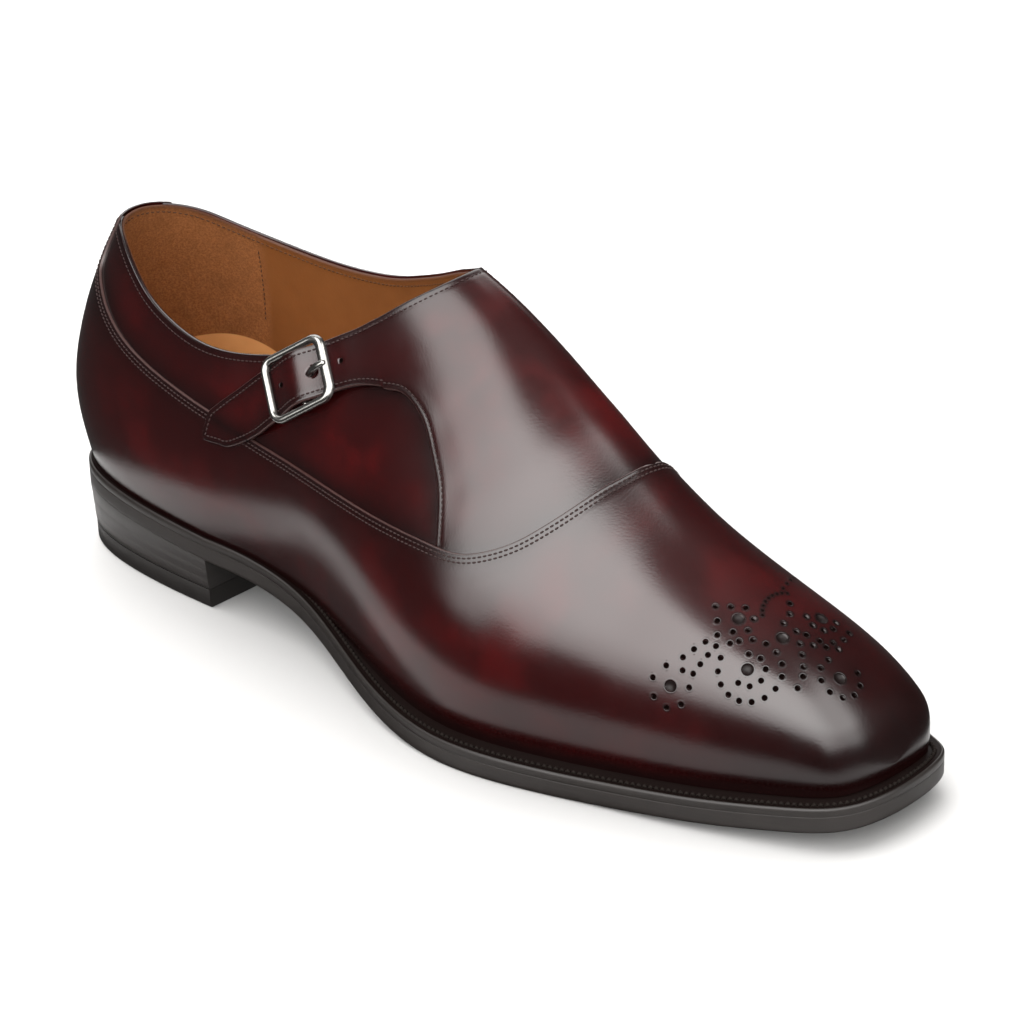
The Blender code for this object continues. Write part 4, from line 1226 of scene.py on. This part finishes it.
# A line at one distance from a curve of the surface, on the side towards the sole; with an arch
# line, on the side away from its middle. Gives its points and normals.
def besideLine(turn, side, distance, lift, line):
    place, normal = upperSurface(turn, side), upperNormal(turn, side)
    aside = np.cross(normal, unit(np.gradient(place, axis=0)))
    if line is archLine:
        away = place - upperSurface(90.0, 0.38)
        aside *= np.sign((aside * away).sum(1).mean())
    else:
        aside *= np.sign(-aside[:, 2].mean())
    turn, side = stepped(turn, side, aside * distance)
    return lifted(turn, side, lift), upperNormal(turn, side)


stitching = {
    # spacing, length and radius of the threads
    "seam": (1.55, 1.15, 0.25), "strap": (1.55, 1.1, 0.24), "collar": (1.6, 1.15, 0.2),
    "lining": (1.7, 1.1, 0.2), "welt": (1.75, 1.45, 0.55),
}


# Two rows on the vamp beside its seam, sunk a little towards the collar.
def makeSeamStitches():
    lines = []
    for inset in vamp["stitchRows"]:
        lift = vamp["raise"] - edgeDrop(inset, vamp["edgeRadius"]) - 0.1
        keep = slice(5, -5)
        near = smoothStep(10 - distanceFrom(seamLine[keep], collarLine), 0, 10)
        lift = lift - (0.6 * vamp["raise"] + 0.12) * near
        lines.append(besideLine(seamTurn[keep], seamSide[keep], inset, lift, seamLine))
    return stitches("seamStitches", lines, *stitching["seam"])


# One row round the strap, set in from its edge, and one beside the arch.
def makeStrapStitches():
    along, top, low, lift = strapTable()
    inset = saddle["stitchInset"]
    edge = np.concatenate([np.column_stack([along, top])[::-1], np.column_stack([along, low])])
    ahead = unit(np.gradient(edge, axis=0))
    row = edge + inset * np.column_stack([-ahead[:, 1], ahead[:, 0]])
    clear = np.sqrt(((row[:, None] - edge[None]) ** 2).sum(-1).min(1)) > inset - 0.12
    row = row[clear]
    place = underStrap(row[:, 0], row[:, 1])
    height = np.interp(row[:, 0], along, lift) + saddle["strapThickness"]
    height = height * strapFade(upperSurface(*place), place[1], farAway, row[:, 0]) - 0.1
    lines = [(lifted(*place, height), upperNormal(*place))]
    _, turn, side = archCurve(0.5)
    ahead = turn > underStrap(along[-1:], low[-1:])[0]
    turn, side = turn[ahead][:-3], side[ahead][:-3]
    base = upperSurface(turn, side)
    seamAway = distanceFrom(base, seamLine)
    lift = saddle["archLift"] * smoothStep(seamAway, 1, 14) - saddle["sink"] * underSeam(seamAway) - 0.08
    run = strapRun + runningLength(base)
    lift = lift + rolledEdge(inset, seamAway, run)
    lift = lift + (saddle["strapThickness"] + 0.3 - lift) * strapFade(base, side, seamAway, run)
    lines.append(besideLine(turn, side, inset, lift, archLine))
    return stitches("strapStitches", lines, *stitching["strap"])


# The row round the collar, a little below its edge: outside on the leather, inside on the lining.
def makeCollarStitches():
    lines, inner = [], []
    strapEnd = compassAt(underStrap(24.0, 7.9)[0], 1)
    spans = ((89.5, compassAt(72, 1)), (strapEnd, -89.5))
    for first, final in spans:
        turn, side = collarAt(np.linspace(first, final, 900))
        place = upperSurface(turn, side)
        strip = vamp["outerStrip" if first > 80 else "innerStrip"][0][1]
        sunk = saddle["sink"] * underSeam(distanceFrom(place, seamLine))
        lift = np.where((turn < strip) & ((side > 0) == (first > 80)), 0.1, -0.1 - sunk)
        if first < 80:
            lift += (saddle["strapThickness"] + 0.3) * strapFade(place, side, farAway, strapRun)
        lines.append(besideLine(turn, side, collarStitch, lift, None))
    turn, side = collarAt(np.linspace(89.5, -89.5, 1200))
    inside = -lining["inside"] - 0.02
    place, normal = besideLine(turn, side, collarStitch + 0.3, np.full(1200, inside), None)
    inner.append((place, -normal))
    for sign in (1, -1):
        top = abs(collarAt(compassAt(lining["gripEnd"], sign))[1]) + 0.035
        side = sign * np.linspace(0.62, top, 60)
        turn = lining["gripEnd"] + lining["gripCurve"] * np.cos(np.pi * np.abs(side)) - 0.8
        inner.append((lifted(turn, side, inside), -upperNormal(turn, side)))
    outerRow = stitches("collarStitches", lines, *stitching["collar"])
    return outerRow, stitches("liningStitches", inner, *stitching["lining"])


# One row of thick threads on the welt.
def makeWeltStitches():
    angle = np.linspace(welt["end"] + 1, 359 - welt["end"], 1200)
    place = levelRing(angle, welt["stitchInset"], welt["stitchHeight"])
    normal = np.zeros(place.shape) + (0.0, 0.0, 1.0)
    return stitches("weltStitches", [(place, normal)], *stitching["welt"])


# One output of a node; Python arithmetic on it adds Math nodes.
class Wire:
    def __init__(self, finish, socket):
        self.finish, self.socket = finish, socket

    def math(self, operation, *values, clamp=False):
        settings = {"operation": operation, "use_clamp": clamp}
        return self.finish.node("ShaderNodeMath", settings, dict(enumerate(values)))

    def __add__(self, other):
        return self.math("ADD", self, other)

    def __radd__(self, other):
        return self.math("ADD", other, self)

    def __sub__(self, other):
        return self.math("SUBTRACT", self, other)

    def __rsub__(self, other):
        return self.math("SUBTRACT", other, self)

    def __mul__(self, other):
        return self.math("MULTIPLY", self, other)

    def __rmul__(self, other):
        return self.math("MULTIPLY", other, self)

    def __truediv__(self, other):
        return self.math("DIVIDE", self, other)

    def clamped(self):
        return self.math("ADD", self, 0.0, clamp=True)

    def output(self, name):
        return Wire(self.finish, self.socket.node.outputs[name])


# A node tree being built, for a material or for the studio around the shoe.
class Finish:
    def __init__(self, owner):
        self.owner = owner
        owner.use_nodes = True
        self.tree = owner.node_tree
        self.tree.nodes.clear()

    def node(self, kind, settings=None, values=None, output=0):
        made = self.tree.nodes.new(kind)
        for name, value in (settings or {}).items():
            if name == "stops":
                stops = made.color_ramp.elements
                while len(stops) < len(value):
                    stops.new(0.5)
                for stop, (position, colour) in zip(stops, value):
                    stop.position, stop.color = position, colour
            else:
                setattr(made, name, value)
        for name, value in (values or {}).items():
            if isinstance(value, Wire):
                self.tree.links.new(value.socket, made.inputs[name])
            elif value is not None:
                made.inputs[name].default_value = value
        return Wire(self, made.outputs[output])

    def place(self):
        return self.node("ShaderNodeTexCoord").output("Object")

    def mark(self, name):
        return self.node("ShaderNodeAttribute", {"attribute_name": name}).output("Fac")

    # features of about this many millimetres; detail adds octaves
    def noise(self, size, detail=2.0, roughness=0.5, vector=None, distortion=0.0):
        values = {"Vector": vector or self.place(), "Scale": 1000.0 / size, "Detail": detail,
                  "Roughness": roughness, "Distortion": distortion}
        return self.node("ShaderNodeTexNoise", {"noise_dimensions": "3D"}, values)

    def stretched(self, scale, turn=(0.0, 0.0, 0.0)):
        values = {"Vector": self.place(), "Rotation": turn, "Scale": scale}
        return self.node("ShaderNodeMapping", None, values)

    def ramp(self, value, low, high, smooth=True):
        settings = {"interpolation_type": "SMOOTHSTEP" if smooth else "LINEAR"}
        return self.node("ShaderNodeMapRange", settings, {"Value": value, "From Min": low, "From Max": high})

    def blend(self, factor, first, second, how="MIX"):
        settings = {"data_type": "RGBA", "blend_type": how}
        return self.node("ShaderNodeMix", settings, {0: factor, 6: first, 7: second}, 2)

    def bump(self, height, strength, distance, normal=None):
        return self.node("ShaderNodeBump", None, {
            "Strength": strength, "Distance": distance * millimetre, "Height": height, "Normal": normal})

    # x, y and z of a vector
    def split(self, vector):
        first = self.node("ShaderNodeSeparateXYZ", None, {0: vector})
        return [first.output(name) for name in "XYZ"]

    # what the whole tree gives: a material's surface or the world's light
    def send(self, made, kind="ShaderNodeOutputMaterial"):
        out = self.tree.nodes.new(kind)
        self.tree.links.new(made.socket, out.inputs["Surface"])
        return self.owner

    # matt is the share of a dull dark bottom, as inside a punched hole, where it is painted shade
    def shader(self, matt=None, **sockets):
        names = {name.replace("_", " "): value for name, value in sockets.items()}
        made = self.node("ShaderNodeBsdfPrincipled", None, names)
        if matt:
            dull = self.node("ShaderNodeBsdfDiffuse", None, {"Color": colour(0.004, 0.002, 0.0018)})
            made = self.node("ShaderNodeMixShader", None, {0: matt, 1: made, 2: dull})
        return self.send(made)


# A new material's finish.
def newFinish(name):
    return Finish(bpy.data.materials.new(name))


# An opaque colour from its linear parts.
def colour(red, green, blue):
    return (red, green, blue, 1.0)


calf = {
    # deep: near black, for the patina and for painted shade
    "deep": (0.0026, 0.0004, 0.0004), "body": (0.0100, 0.0005, 0.0006), "glow": (0.028, 0.0010, 0.0012),
    # the raw edge's lighter colour stands partly for a painted highlight on the rounded edge
    "rawEdge": (0.040, 0.018, 0.016), "hole": (0.0012, 0.0006, 0.0005), "roughness": (0.15, 0.25),
}


# Burgundy calf with a hand-worked patina: cloudy red in the middle of each panel, almost black at the toe and
# the heel;
# darker by the seams and the collar, as burnish and painted shade, and low by the welt as painted shade of the
# crease;
# a raw edge lighter, partly its own colour and partly a painted highlight; holes painted dark as their shade;
# a fine grain and faint drawn pores.
def calfFinish():
    f = newFinish("burgundyCalf")
    x, _, z = f.split(f.place())
    cloud = f.noise(34, 3.0, 0.55)
    fine = f.noise(7, 4.0, 0.6)
    toe = f.ramp(x, 0.085, 0.150)
    back = f.ramp(x, -0.112, -0.150)
    # darker towards the bottom, below 40 mm: painted shade of the crease between the upper and the welt
    low = f.ramp(z, 0.040, 0.012)
    # darker by the seams, the collar, the arch and low by the welt: partly burnish, partly painted shade under
    # overlapping edges and in the crease
    shade = f.mark("shade")
    dark = (toe * 0.75 + back * 0.6 + low * 0.35 + shade * 0.95 + (fine - 0.5) * 0.5).clamped()
    glow = (f.ramp(cloud, 0.46, 0.68) * 0.8 + (fine - 0.5) * 0.5).clamped() * (1 - dark)
    tone = f.blend(glow, colour(*calf["body"]), colour(*calf["glow"]))
    tone = f.blend(dark * 0.95, tone, colour(*calf["deep"]))
    # the raw edge painted lighter, partly its own colour and partly a painted highlight on the rounded edge
    tone = f.blend((f.mark("rawEdge") * 0.9).clamped(), tone, colour(*calf["rawEdge"]))
    # near black and dull inside punched holes: painted shade of the hole's depth
    tone = f.blend(f.mark("pierced"), tone, colour(*calf["hole"]))
    grain = f.noise(0.55, 2.0, 0.5)
    values = {"Vector": f.place(), "Scale": 1000 / 0.8}
    pores = f.node("ShaderNodeTexVoronoi", {"feature": "DISTANCE_TO_EDGE"}, values)
    drawn = f.noise(1.6, 3.0, 0.6, f.stretched((0.45, 1.3, 1.3)))
    height = grain * 0.5 + f.ramp(pores, 0.0, 0.22) * 0.35 + drawn * 0.6
    normal = f.bump(height, 0.35, 0.05)
    smooth, rough = calf["roughness"]
    roughness = smooth + (rough - smooth) * f.noise(12, 3.0, 0.6)
    roughness = roughness + f.mark("rawEdge") * 0.2 + f.mark("pierced") * 0.4
    return f.shader(Base_Color=tone, Roughness=roughness, Normal=normal, matt=f.mark("pierced"))


# Waxed thread, its twist a fine noise.
def threadFinish(name, dark, light, shine=0.3):
    f = newFinish(name)
    twist = f.noise(0.3, 2.0, 0.6)
    tone = f.blend(twist, colour(*dark), colour(*light))
    normal = f.bump(twist, 0.5, 0.06)
    return f.shader(Base_Color=tone, Roughness=0.55 + twist * 0.2, Normal=normal, Specular_IOR_Level=shine)


# Smooth tan leather in front, suede behind, the sock's edge below a shallow arch, a dark rim.
def liningFinish():
    f = newFinish("tanLining")
    grip = f.mark("grip")
    mottled = f.noise(9, 4.0, 0.6)
    nap = f.noise(0.6, 5.0, 0.7)
    smoothTan = f.blend(mottled, colour(0.135, 0.046, 0.011), colour(0.190, 0.070, 0.019))
    suede = f.blend(f.ramp(nap, 0.3, 0.7), colour(0.150, 0.055, 0.016), colour(0.290, 0.112, 0.034))
    suede = f.blend(f.ramp(mottled, 0.45, 0.75) * 0.35, suede, colour(0.115, 0.040, 0.012))
    tone = f.blend(grip, smoothTan, suede)
    x, _, z = f.split(f.place())
    aside = x / millimetre - (lining["sockMiddle"] + float(shoeShift[0]))
    top = lining["sockHeight"] - lining["sockCurve"] * aside * aside
    sock = f.ramp(z / millimetre - top, 0.1, -0.3)
    tone = f.blend(sock, tone, f.blend(mottled, colour(0.55, 0.27, 0.095), colour(0.68, 0.35, 0.13)))
    tone = f.blend(f.mark("rim") * 0.9, tone, colour(0.030, 0.010, 0.006))
    normal = f.bump(f.blend(grip, f.noise(0.6, 3.0), nap), 0.45, 0.14)
    return f.shader(Base_Color=tone, Roughness=0.55 + grip * 0.4, Normal=normal, Specular_IOR_Level=0.25)


# The sock's pale smooth leather.
def sockFinish():
    f = newFinish("tanSock")
    mottled = f.noise(14, 4.0, 0.6)
    tone = f.blend(mottled, colour(0.50, 0.24, 0.085), colour(0.62, 0.31, 0.115))
    normal = f.bump(f.noise(0.7, 3.0), 0.3, 0.08)
    return f.shader(Base_Color=tone, Roughness=0.42 + mottled * 0.15, Normal=normal)


# Burnished leather edges: layers drawn along the edge, wax shine, and a cloudy tone between dark and light.
def edgeFinish(name, dark, light, roughness, layered=0.35):
    f = newFinish(name)
    layers = f.noise(0.55, 3.0, 0.6, f.stretched((0.03, 0.03, 1.0)))
    cloud = f.noise(6, 4.0, 0.6)
    tone = f.blend((layers * 0.7 + cloud * 0.5 - 0.2).clamped(), colour(*dark), colour(*light))
    normal = f.bump(layers * 0.6 + f.noise(0.8, 3.0) * 0.4, layered, 0.08)
    return f.shader(
        Base_Color=tone, Roughness=roughness + cloud * 0.15, Normal=normal, Specular_IOR_Level=0.35,
        matt=f.mark("top") * 0.8)


# Nickel with faint brush marks.
def nickelFinish():
    f = newFinish("polishedNickel")
    cloud = f.noise(2.5, 3.0, 0.6)
    brushed = f.noise(0.35, 3.0, 0.6, f.stretched((0.15, 1.0, 1.0), (0.0, 0.0, 0.6)))
    tone = f.blend(cloud, colour(0.24, 0.235, 0.225), colour(0.31, 0.305, 0.29))
    normal = f.bump(brushed, 0.08, 0.02)
    return f.shader(Base_Color=tone, Metallic=1.0, Roughness=0.2 + cloud * 0.1, Normal=normal)


# The studio: one wide soft box in front, tall as it is wide, a dim ceiling, and dark beyond it.
studio = {
    "boxLight": 7.2, "boxLeft": -27.0, "boxRight": 121.0, "boxTop": 66.0,
    "ambient": 0.08, "ceiling": 0.3, "backLight": 2.5, "floorTone": 0.35, "nearFloor": (10.0, 38.0),
    "domeRadius": 5200,
    # what lights dull surfaces: a share of the box, and a broad light from above and behind on the left
    "boxShare": 0.03, "above": 10.8, "aboveFrom": -110.0,
}


# The world's light by direction: bearing and height in degrees, soft masks for the box, the ceiling
# and a light behind; dull surfaces get their own broad light.
def lightStudio():
    world = bpy.data.worlds.new("softStudio")
    bpy.context.scene.world = world
    f = Finish(world)
    x, y, z = f.split(f.node("ShaderNodeTexCoord").output("Generated"))
    degrees = 180 / np.pi
    bearing = x.math("ARCTAN2", x, 0 - y) * degrees
    height = z.math("ARCSINE", z) * degrees
    left = studio["boxLeft"] - f.ramp(height, 30, 56) * 45
    right = studio["boxRight"] + f.ramp(height, 20, 60) * 12
    top = studio["boxTop"] + f.ramp(bearing, 5, -25) * 13
    bottom = 1.0 - f.ramp(bearing, 34, 52) * 8 - f.ramp(bearing, -2, -14) * 8
    inside = f.ramp(bearing - left, -5, 8) * f.ramp(right - bearing, -5, 9)
    inside = inside * f.ramp(height - bottom, -4, 6) * f.ramp(top - height, -5, 7)
    level = studio["boxLight"] * (0.8 + 0.42 * f.ramp(bearing.math("ABSOLUTE", bearing - 26), 60, 5))
    level = level * (0.6 + 0.4 * f.ramp(height, 3, 26))
    ceiling = f.ramp(height, 35, 85) * studio["ceiling"]
    behind = f.ramp(bearing, -92, -106) * f.ramp(bearing, -166, -152)
    behind = behind * f.ramp(height, 8, 18) * f.ramp(height, 64, 54)
    strength = inside * level + (1 - inside) * (studio["ambient"] + ceiling + behind * studio["backLight"])
    aside = x.math("COSINE", (bearing - studio["aboveFrom"]) / degrees)
    soft = f.ramp(height, 18, 55) * studio["above"] * (0.4 + 0.6 * aside).clamped()
    soft = soft + strength * studio["boxShare"]
    dull = f.node("ShaderNodeLightPath").output("Is Diffuse Ray")
    strength = strength + (soft - strength) * dull
    shining = f.node("ShaderNodeBackground", None, {"Color": colour(1.0, 0.985, 0.97), "Strength": strength})
    f.send(shining, "ShaderNodeOutputWorld")


# A pale matt floor, faintly cloudy.
def floorFinish():
    f = newFinish("paleFloor")
    dark, light = (colour(*[studio["floorTone"] * k] * 3) for k in (1, 1.02))
    return f.shader(Base_Color=f.blend(f.noise(300, 2.0), dark, light), Roughness=0.9)


# The floor: rings from the middle of the shoe out to a wide circle. Only the part beside the shoe
# shows in its polish; the rest is hidden from glossy rays.
def makeFloor():
    around = np.radians(np.linspace(-180, 180, 97)[1:])
    finish = floorFinish()

    # an oval of the shoe's own length and width, larger by away
    def oval(away):
        return np.stack([150 + (150 + away) * np.cos(around), 2 + (50 + away) * np.sin(around)], -1)

    def rings(name, distances, shown):
        grid = np.stack([oval(away) for away in distances], 1)
        grid = np.concatenate([grid, np.full(grid.shape[:2] + (1,), -0.05)], -1)
        piece = newPiece(name, grid, gridQuads(96, len(distances), 0, True, True), smooth=False)
        piece.data.materials.append(finish)
        piece.visible_glossy = shown

    start, end = studio["nearFloor"]
    rings("floorUnderShoe", (-49.9, -30, start), False)
    rings("floorBesideShoe", (start, (start + end) / 2, end), True)
    rings("floorAround", (end, 150, 400, 1200, 4000, 9000), False)
    turn = np.linspace(-np.pi, np.pi, 49)[:, None]
    rise = np.linspace(-0.3, np.pi / 2, 17)[None]
    flat = np.cos(rise)
    dome = np.stack([flat * np.cos(turn), flat * np.sin(turn), np.sin(rise) + 0 * turn], -1)
    backdrop = newPiece("paleBackdrop", studio["domeRadius"] * dome, gridQuads(49, 17, 0, False, True))
    f = newFinish("paleBackdrop")
    lit = f.node("ShaderNodeEmission", None, {"Color": colour(0.93, 0.93, 0.93), "Strength": 1.0})
    backdrop.data.materials.append(f.send(lit))
    for way in ("diffuse", "glossy", "transmission", "shadow"):
        setattr(backdrop, "visible_" + way, False)


view = {
    "azimuth": 43.15, "elevation": 25.95, "roll": -1.48, "distance": 1098.7, "aim": (159.6, 5.4, 45.5),
    "lens": 137.0,
}


# The camera looks along its back axis at the aim, rolled about that axis.
def addCamera():
    azimuth, elevation, roll = (np.radians(view[k]) for k in ("azimuth", "elevation", "roll"))
    flat = np.cos(elevation)
    back = np.array([np.sin(azimuth) * flat, -np.cos(azimuth) * flat, np.sin(elevation)])
    right = np.array([np.cos(azimuth), np.sin(azimuth), 0.0])
    up = np.cross(back, right)
    right, up = right * np.cos(roll) + up * np.sin(roll), up * np.cos(roll) - right * np.sin(roll)
    lens = bpy.data.cameras.new("camera")
    lens.lens, lens.sensor_width = view["lens"], 36.0
    lens.clip_start, lens.clip_end = 0.05, 50.0
    camera = bpy.data.objects.new("camera", lens)
    place = (np.array(view["aim"]) + back * view["distance"] + shoeShift) * millimetre
    turned = Matrix(np.column_stack([right, up, back]).tolist()).to_4x4()
    camera.matrix_world = Matrix.Translation(Vector(place)) @ turned
    bpy.context.scene.collection.objects.link(camera)
    bpy.context.scene.camera = camera


# Gives a piece its finish and its body, and hides the CAD nodes it stands for.
def put(piece, finish, slot, *nodes):
    piece.data.materials.clear()
    piece.data.materials.append(finish)
    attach(piece, "root")
    if nodes:
        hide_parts(*nodes)
    print("made", piece.name, len(piece.data.polygons), "faces", flush=True)


bpy.context.scene.view_settings.view_transform = "Standard"
lightStudio()
makeFloor()
addCamera()

leather = calfFinish()
darkThread = threadFinish("darkThread", (0.006, 0.002, 0.002), (0.022, 0.008, 0.007))
tanThread = threadFinish("tanThread", (0.035, 0.013, 0.004), (0.080, 0.032, 0.011))
weltThread = threadFinish("weltThread", (0.004, 0.003, 0.0025), (0.013, 0.0095, 0.008), 0.06)
edgeBlack = edgeFinish("burnishedEdge", (0.0026, 0.0018, 0.0015), (0.012, 0.009, 0.0078), 0.36)
soleDark = edgeFinish("soleLeather", (0.0026, 0.0018, 0.0015), (0.012, 0.009, 0.0078), 0.42)
heelDark = edgeFinish("heelLeather", (0.0090, 0.0080, 0.0076), (0.019, 0.0168, 0.0160), 0.34, 0.12)
rubber = edgeFinish("heelRubber", (0.0040, 0.0032, 0.0029), (0.008, 0.0068, 0.0062), 0.42, 0.2)
tan = liningFinish()
sock = sockFinish()
nickel = nickelFinish()

put(makeVamp(), leather, "upper_leather", "upper")
put(makeQuarter(), leather, "upper_leather")
put(makeSaddle(), leather, "upper_leather", "monk_strap")
put(makeLining(), tan, "lining_leather")
for name, finish in (("insole", sock), ("buckle_tab", leather)):
    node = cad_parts[name]
    for k in range(len(node.data.materials)):
        node.data.materials[k] = finish
outsolePiece = plate("outsolePlate", outsole["edge"], 480)
put(outsolePiece, soleDark, "sole_leather", "outsole")
frontAngles = np.linspace(welt["end"], 360 - welt["end"], 400)
put(makeEdgeStrip("weltStrip", frontAngles, welt["edge"]), edgeBlack, "edge_leather", "welt")
backAngles = np.linspace(-welt["end"], welt["end"], 160)
put(makeEdgeStrip("heelRand", backAngles, welt["edge"]), edgeBlack, "edge_leather", "heel_rand")
collarRow, liningRow = makeCollarStitches()
put(makeSeamStitches(), darkThread, "upper_leather")
put(makeStrapStitches(), darkThread, "upper_leather")
put(collarRow, darkThread, "upper_leather")
put(liningRow, tanThread, "lining_leather")
put(makeWeltStitches(), weltThread, "edge_leather")
holes = medallionHoles()
put(makeRims("toeHoles", holes, np.zeros(len(holes))), leather, "upper_leather")
rows = np.array(saddle["holes"])
holes = np.column_stack([*underStrap(rows[:, 0], rows[:, 1]), rows[:, 2]])
lifts = np.interp(rows[:, 0], strapTable()[0], strapTable()[3]) + saddle["strapThickness"]
put(makeRims("strapHoles", holes, lifts), leather, "upper_leather")
topPiece, stack = makeHeel()
put(topPiece, rubber, "heel_rubber", "heel_top_piece")
put(stack, heelDark, "heel_leather", "heel_stack")
framePiece, prongPiece = makeBuckle()
put(framePiece, nickel, "buckle_metal", "buckle_frame")
put(prongPiece, nickel, "buckle_metal", "buckle_prong")
for piece in (framePiece, prongPiece):
    piece.visible_diffuse = piece.visible_glossy = False
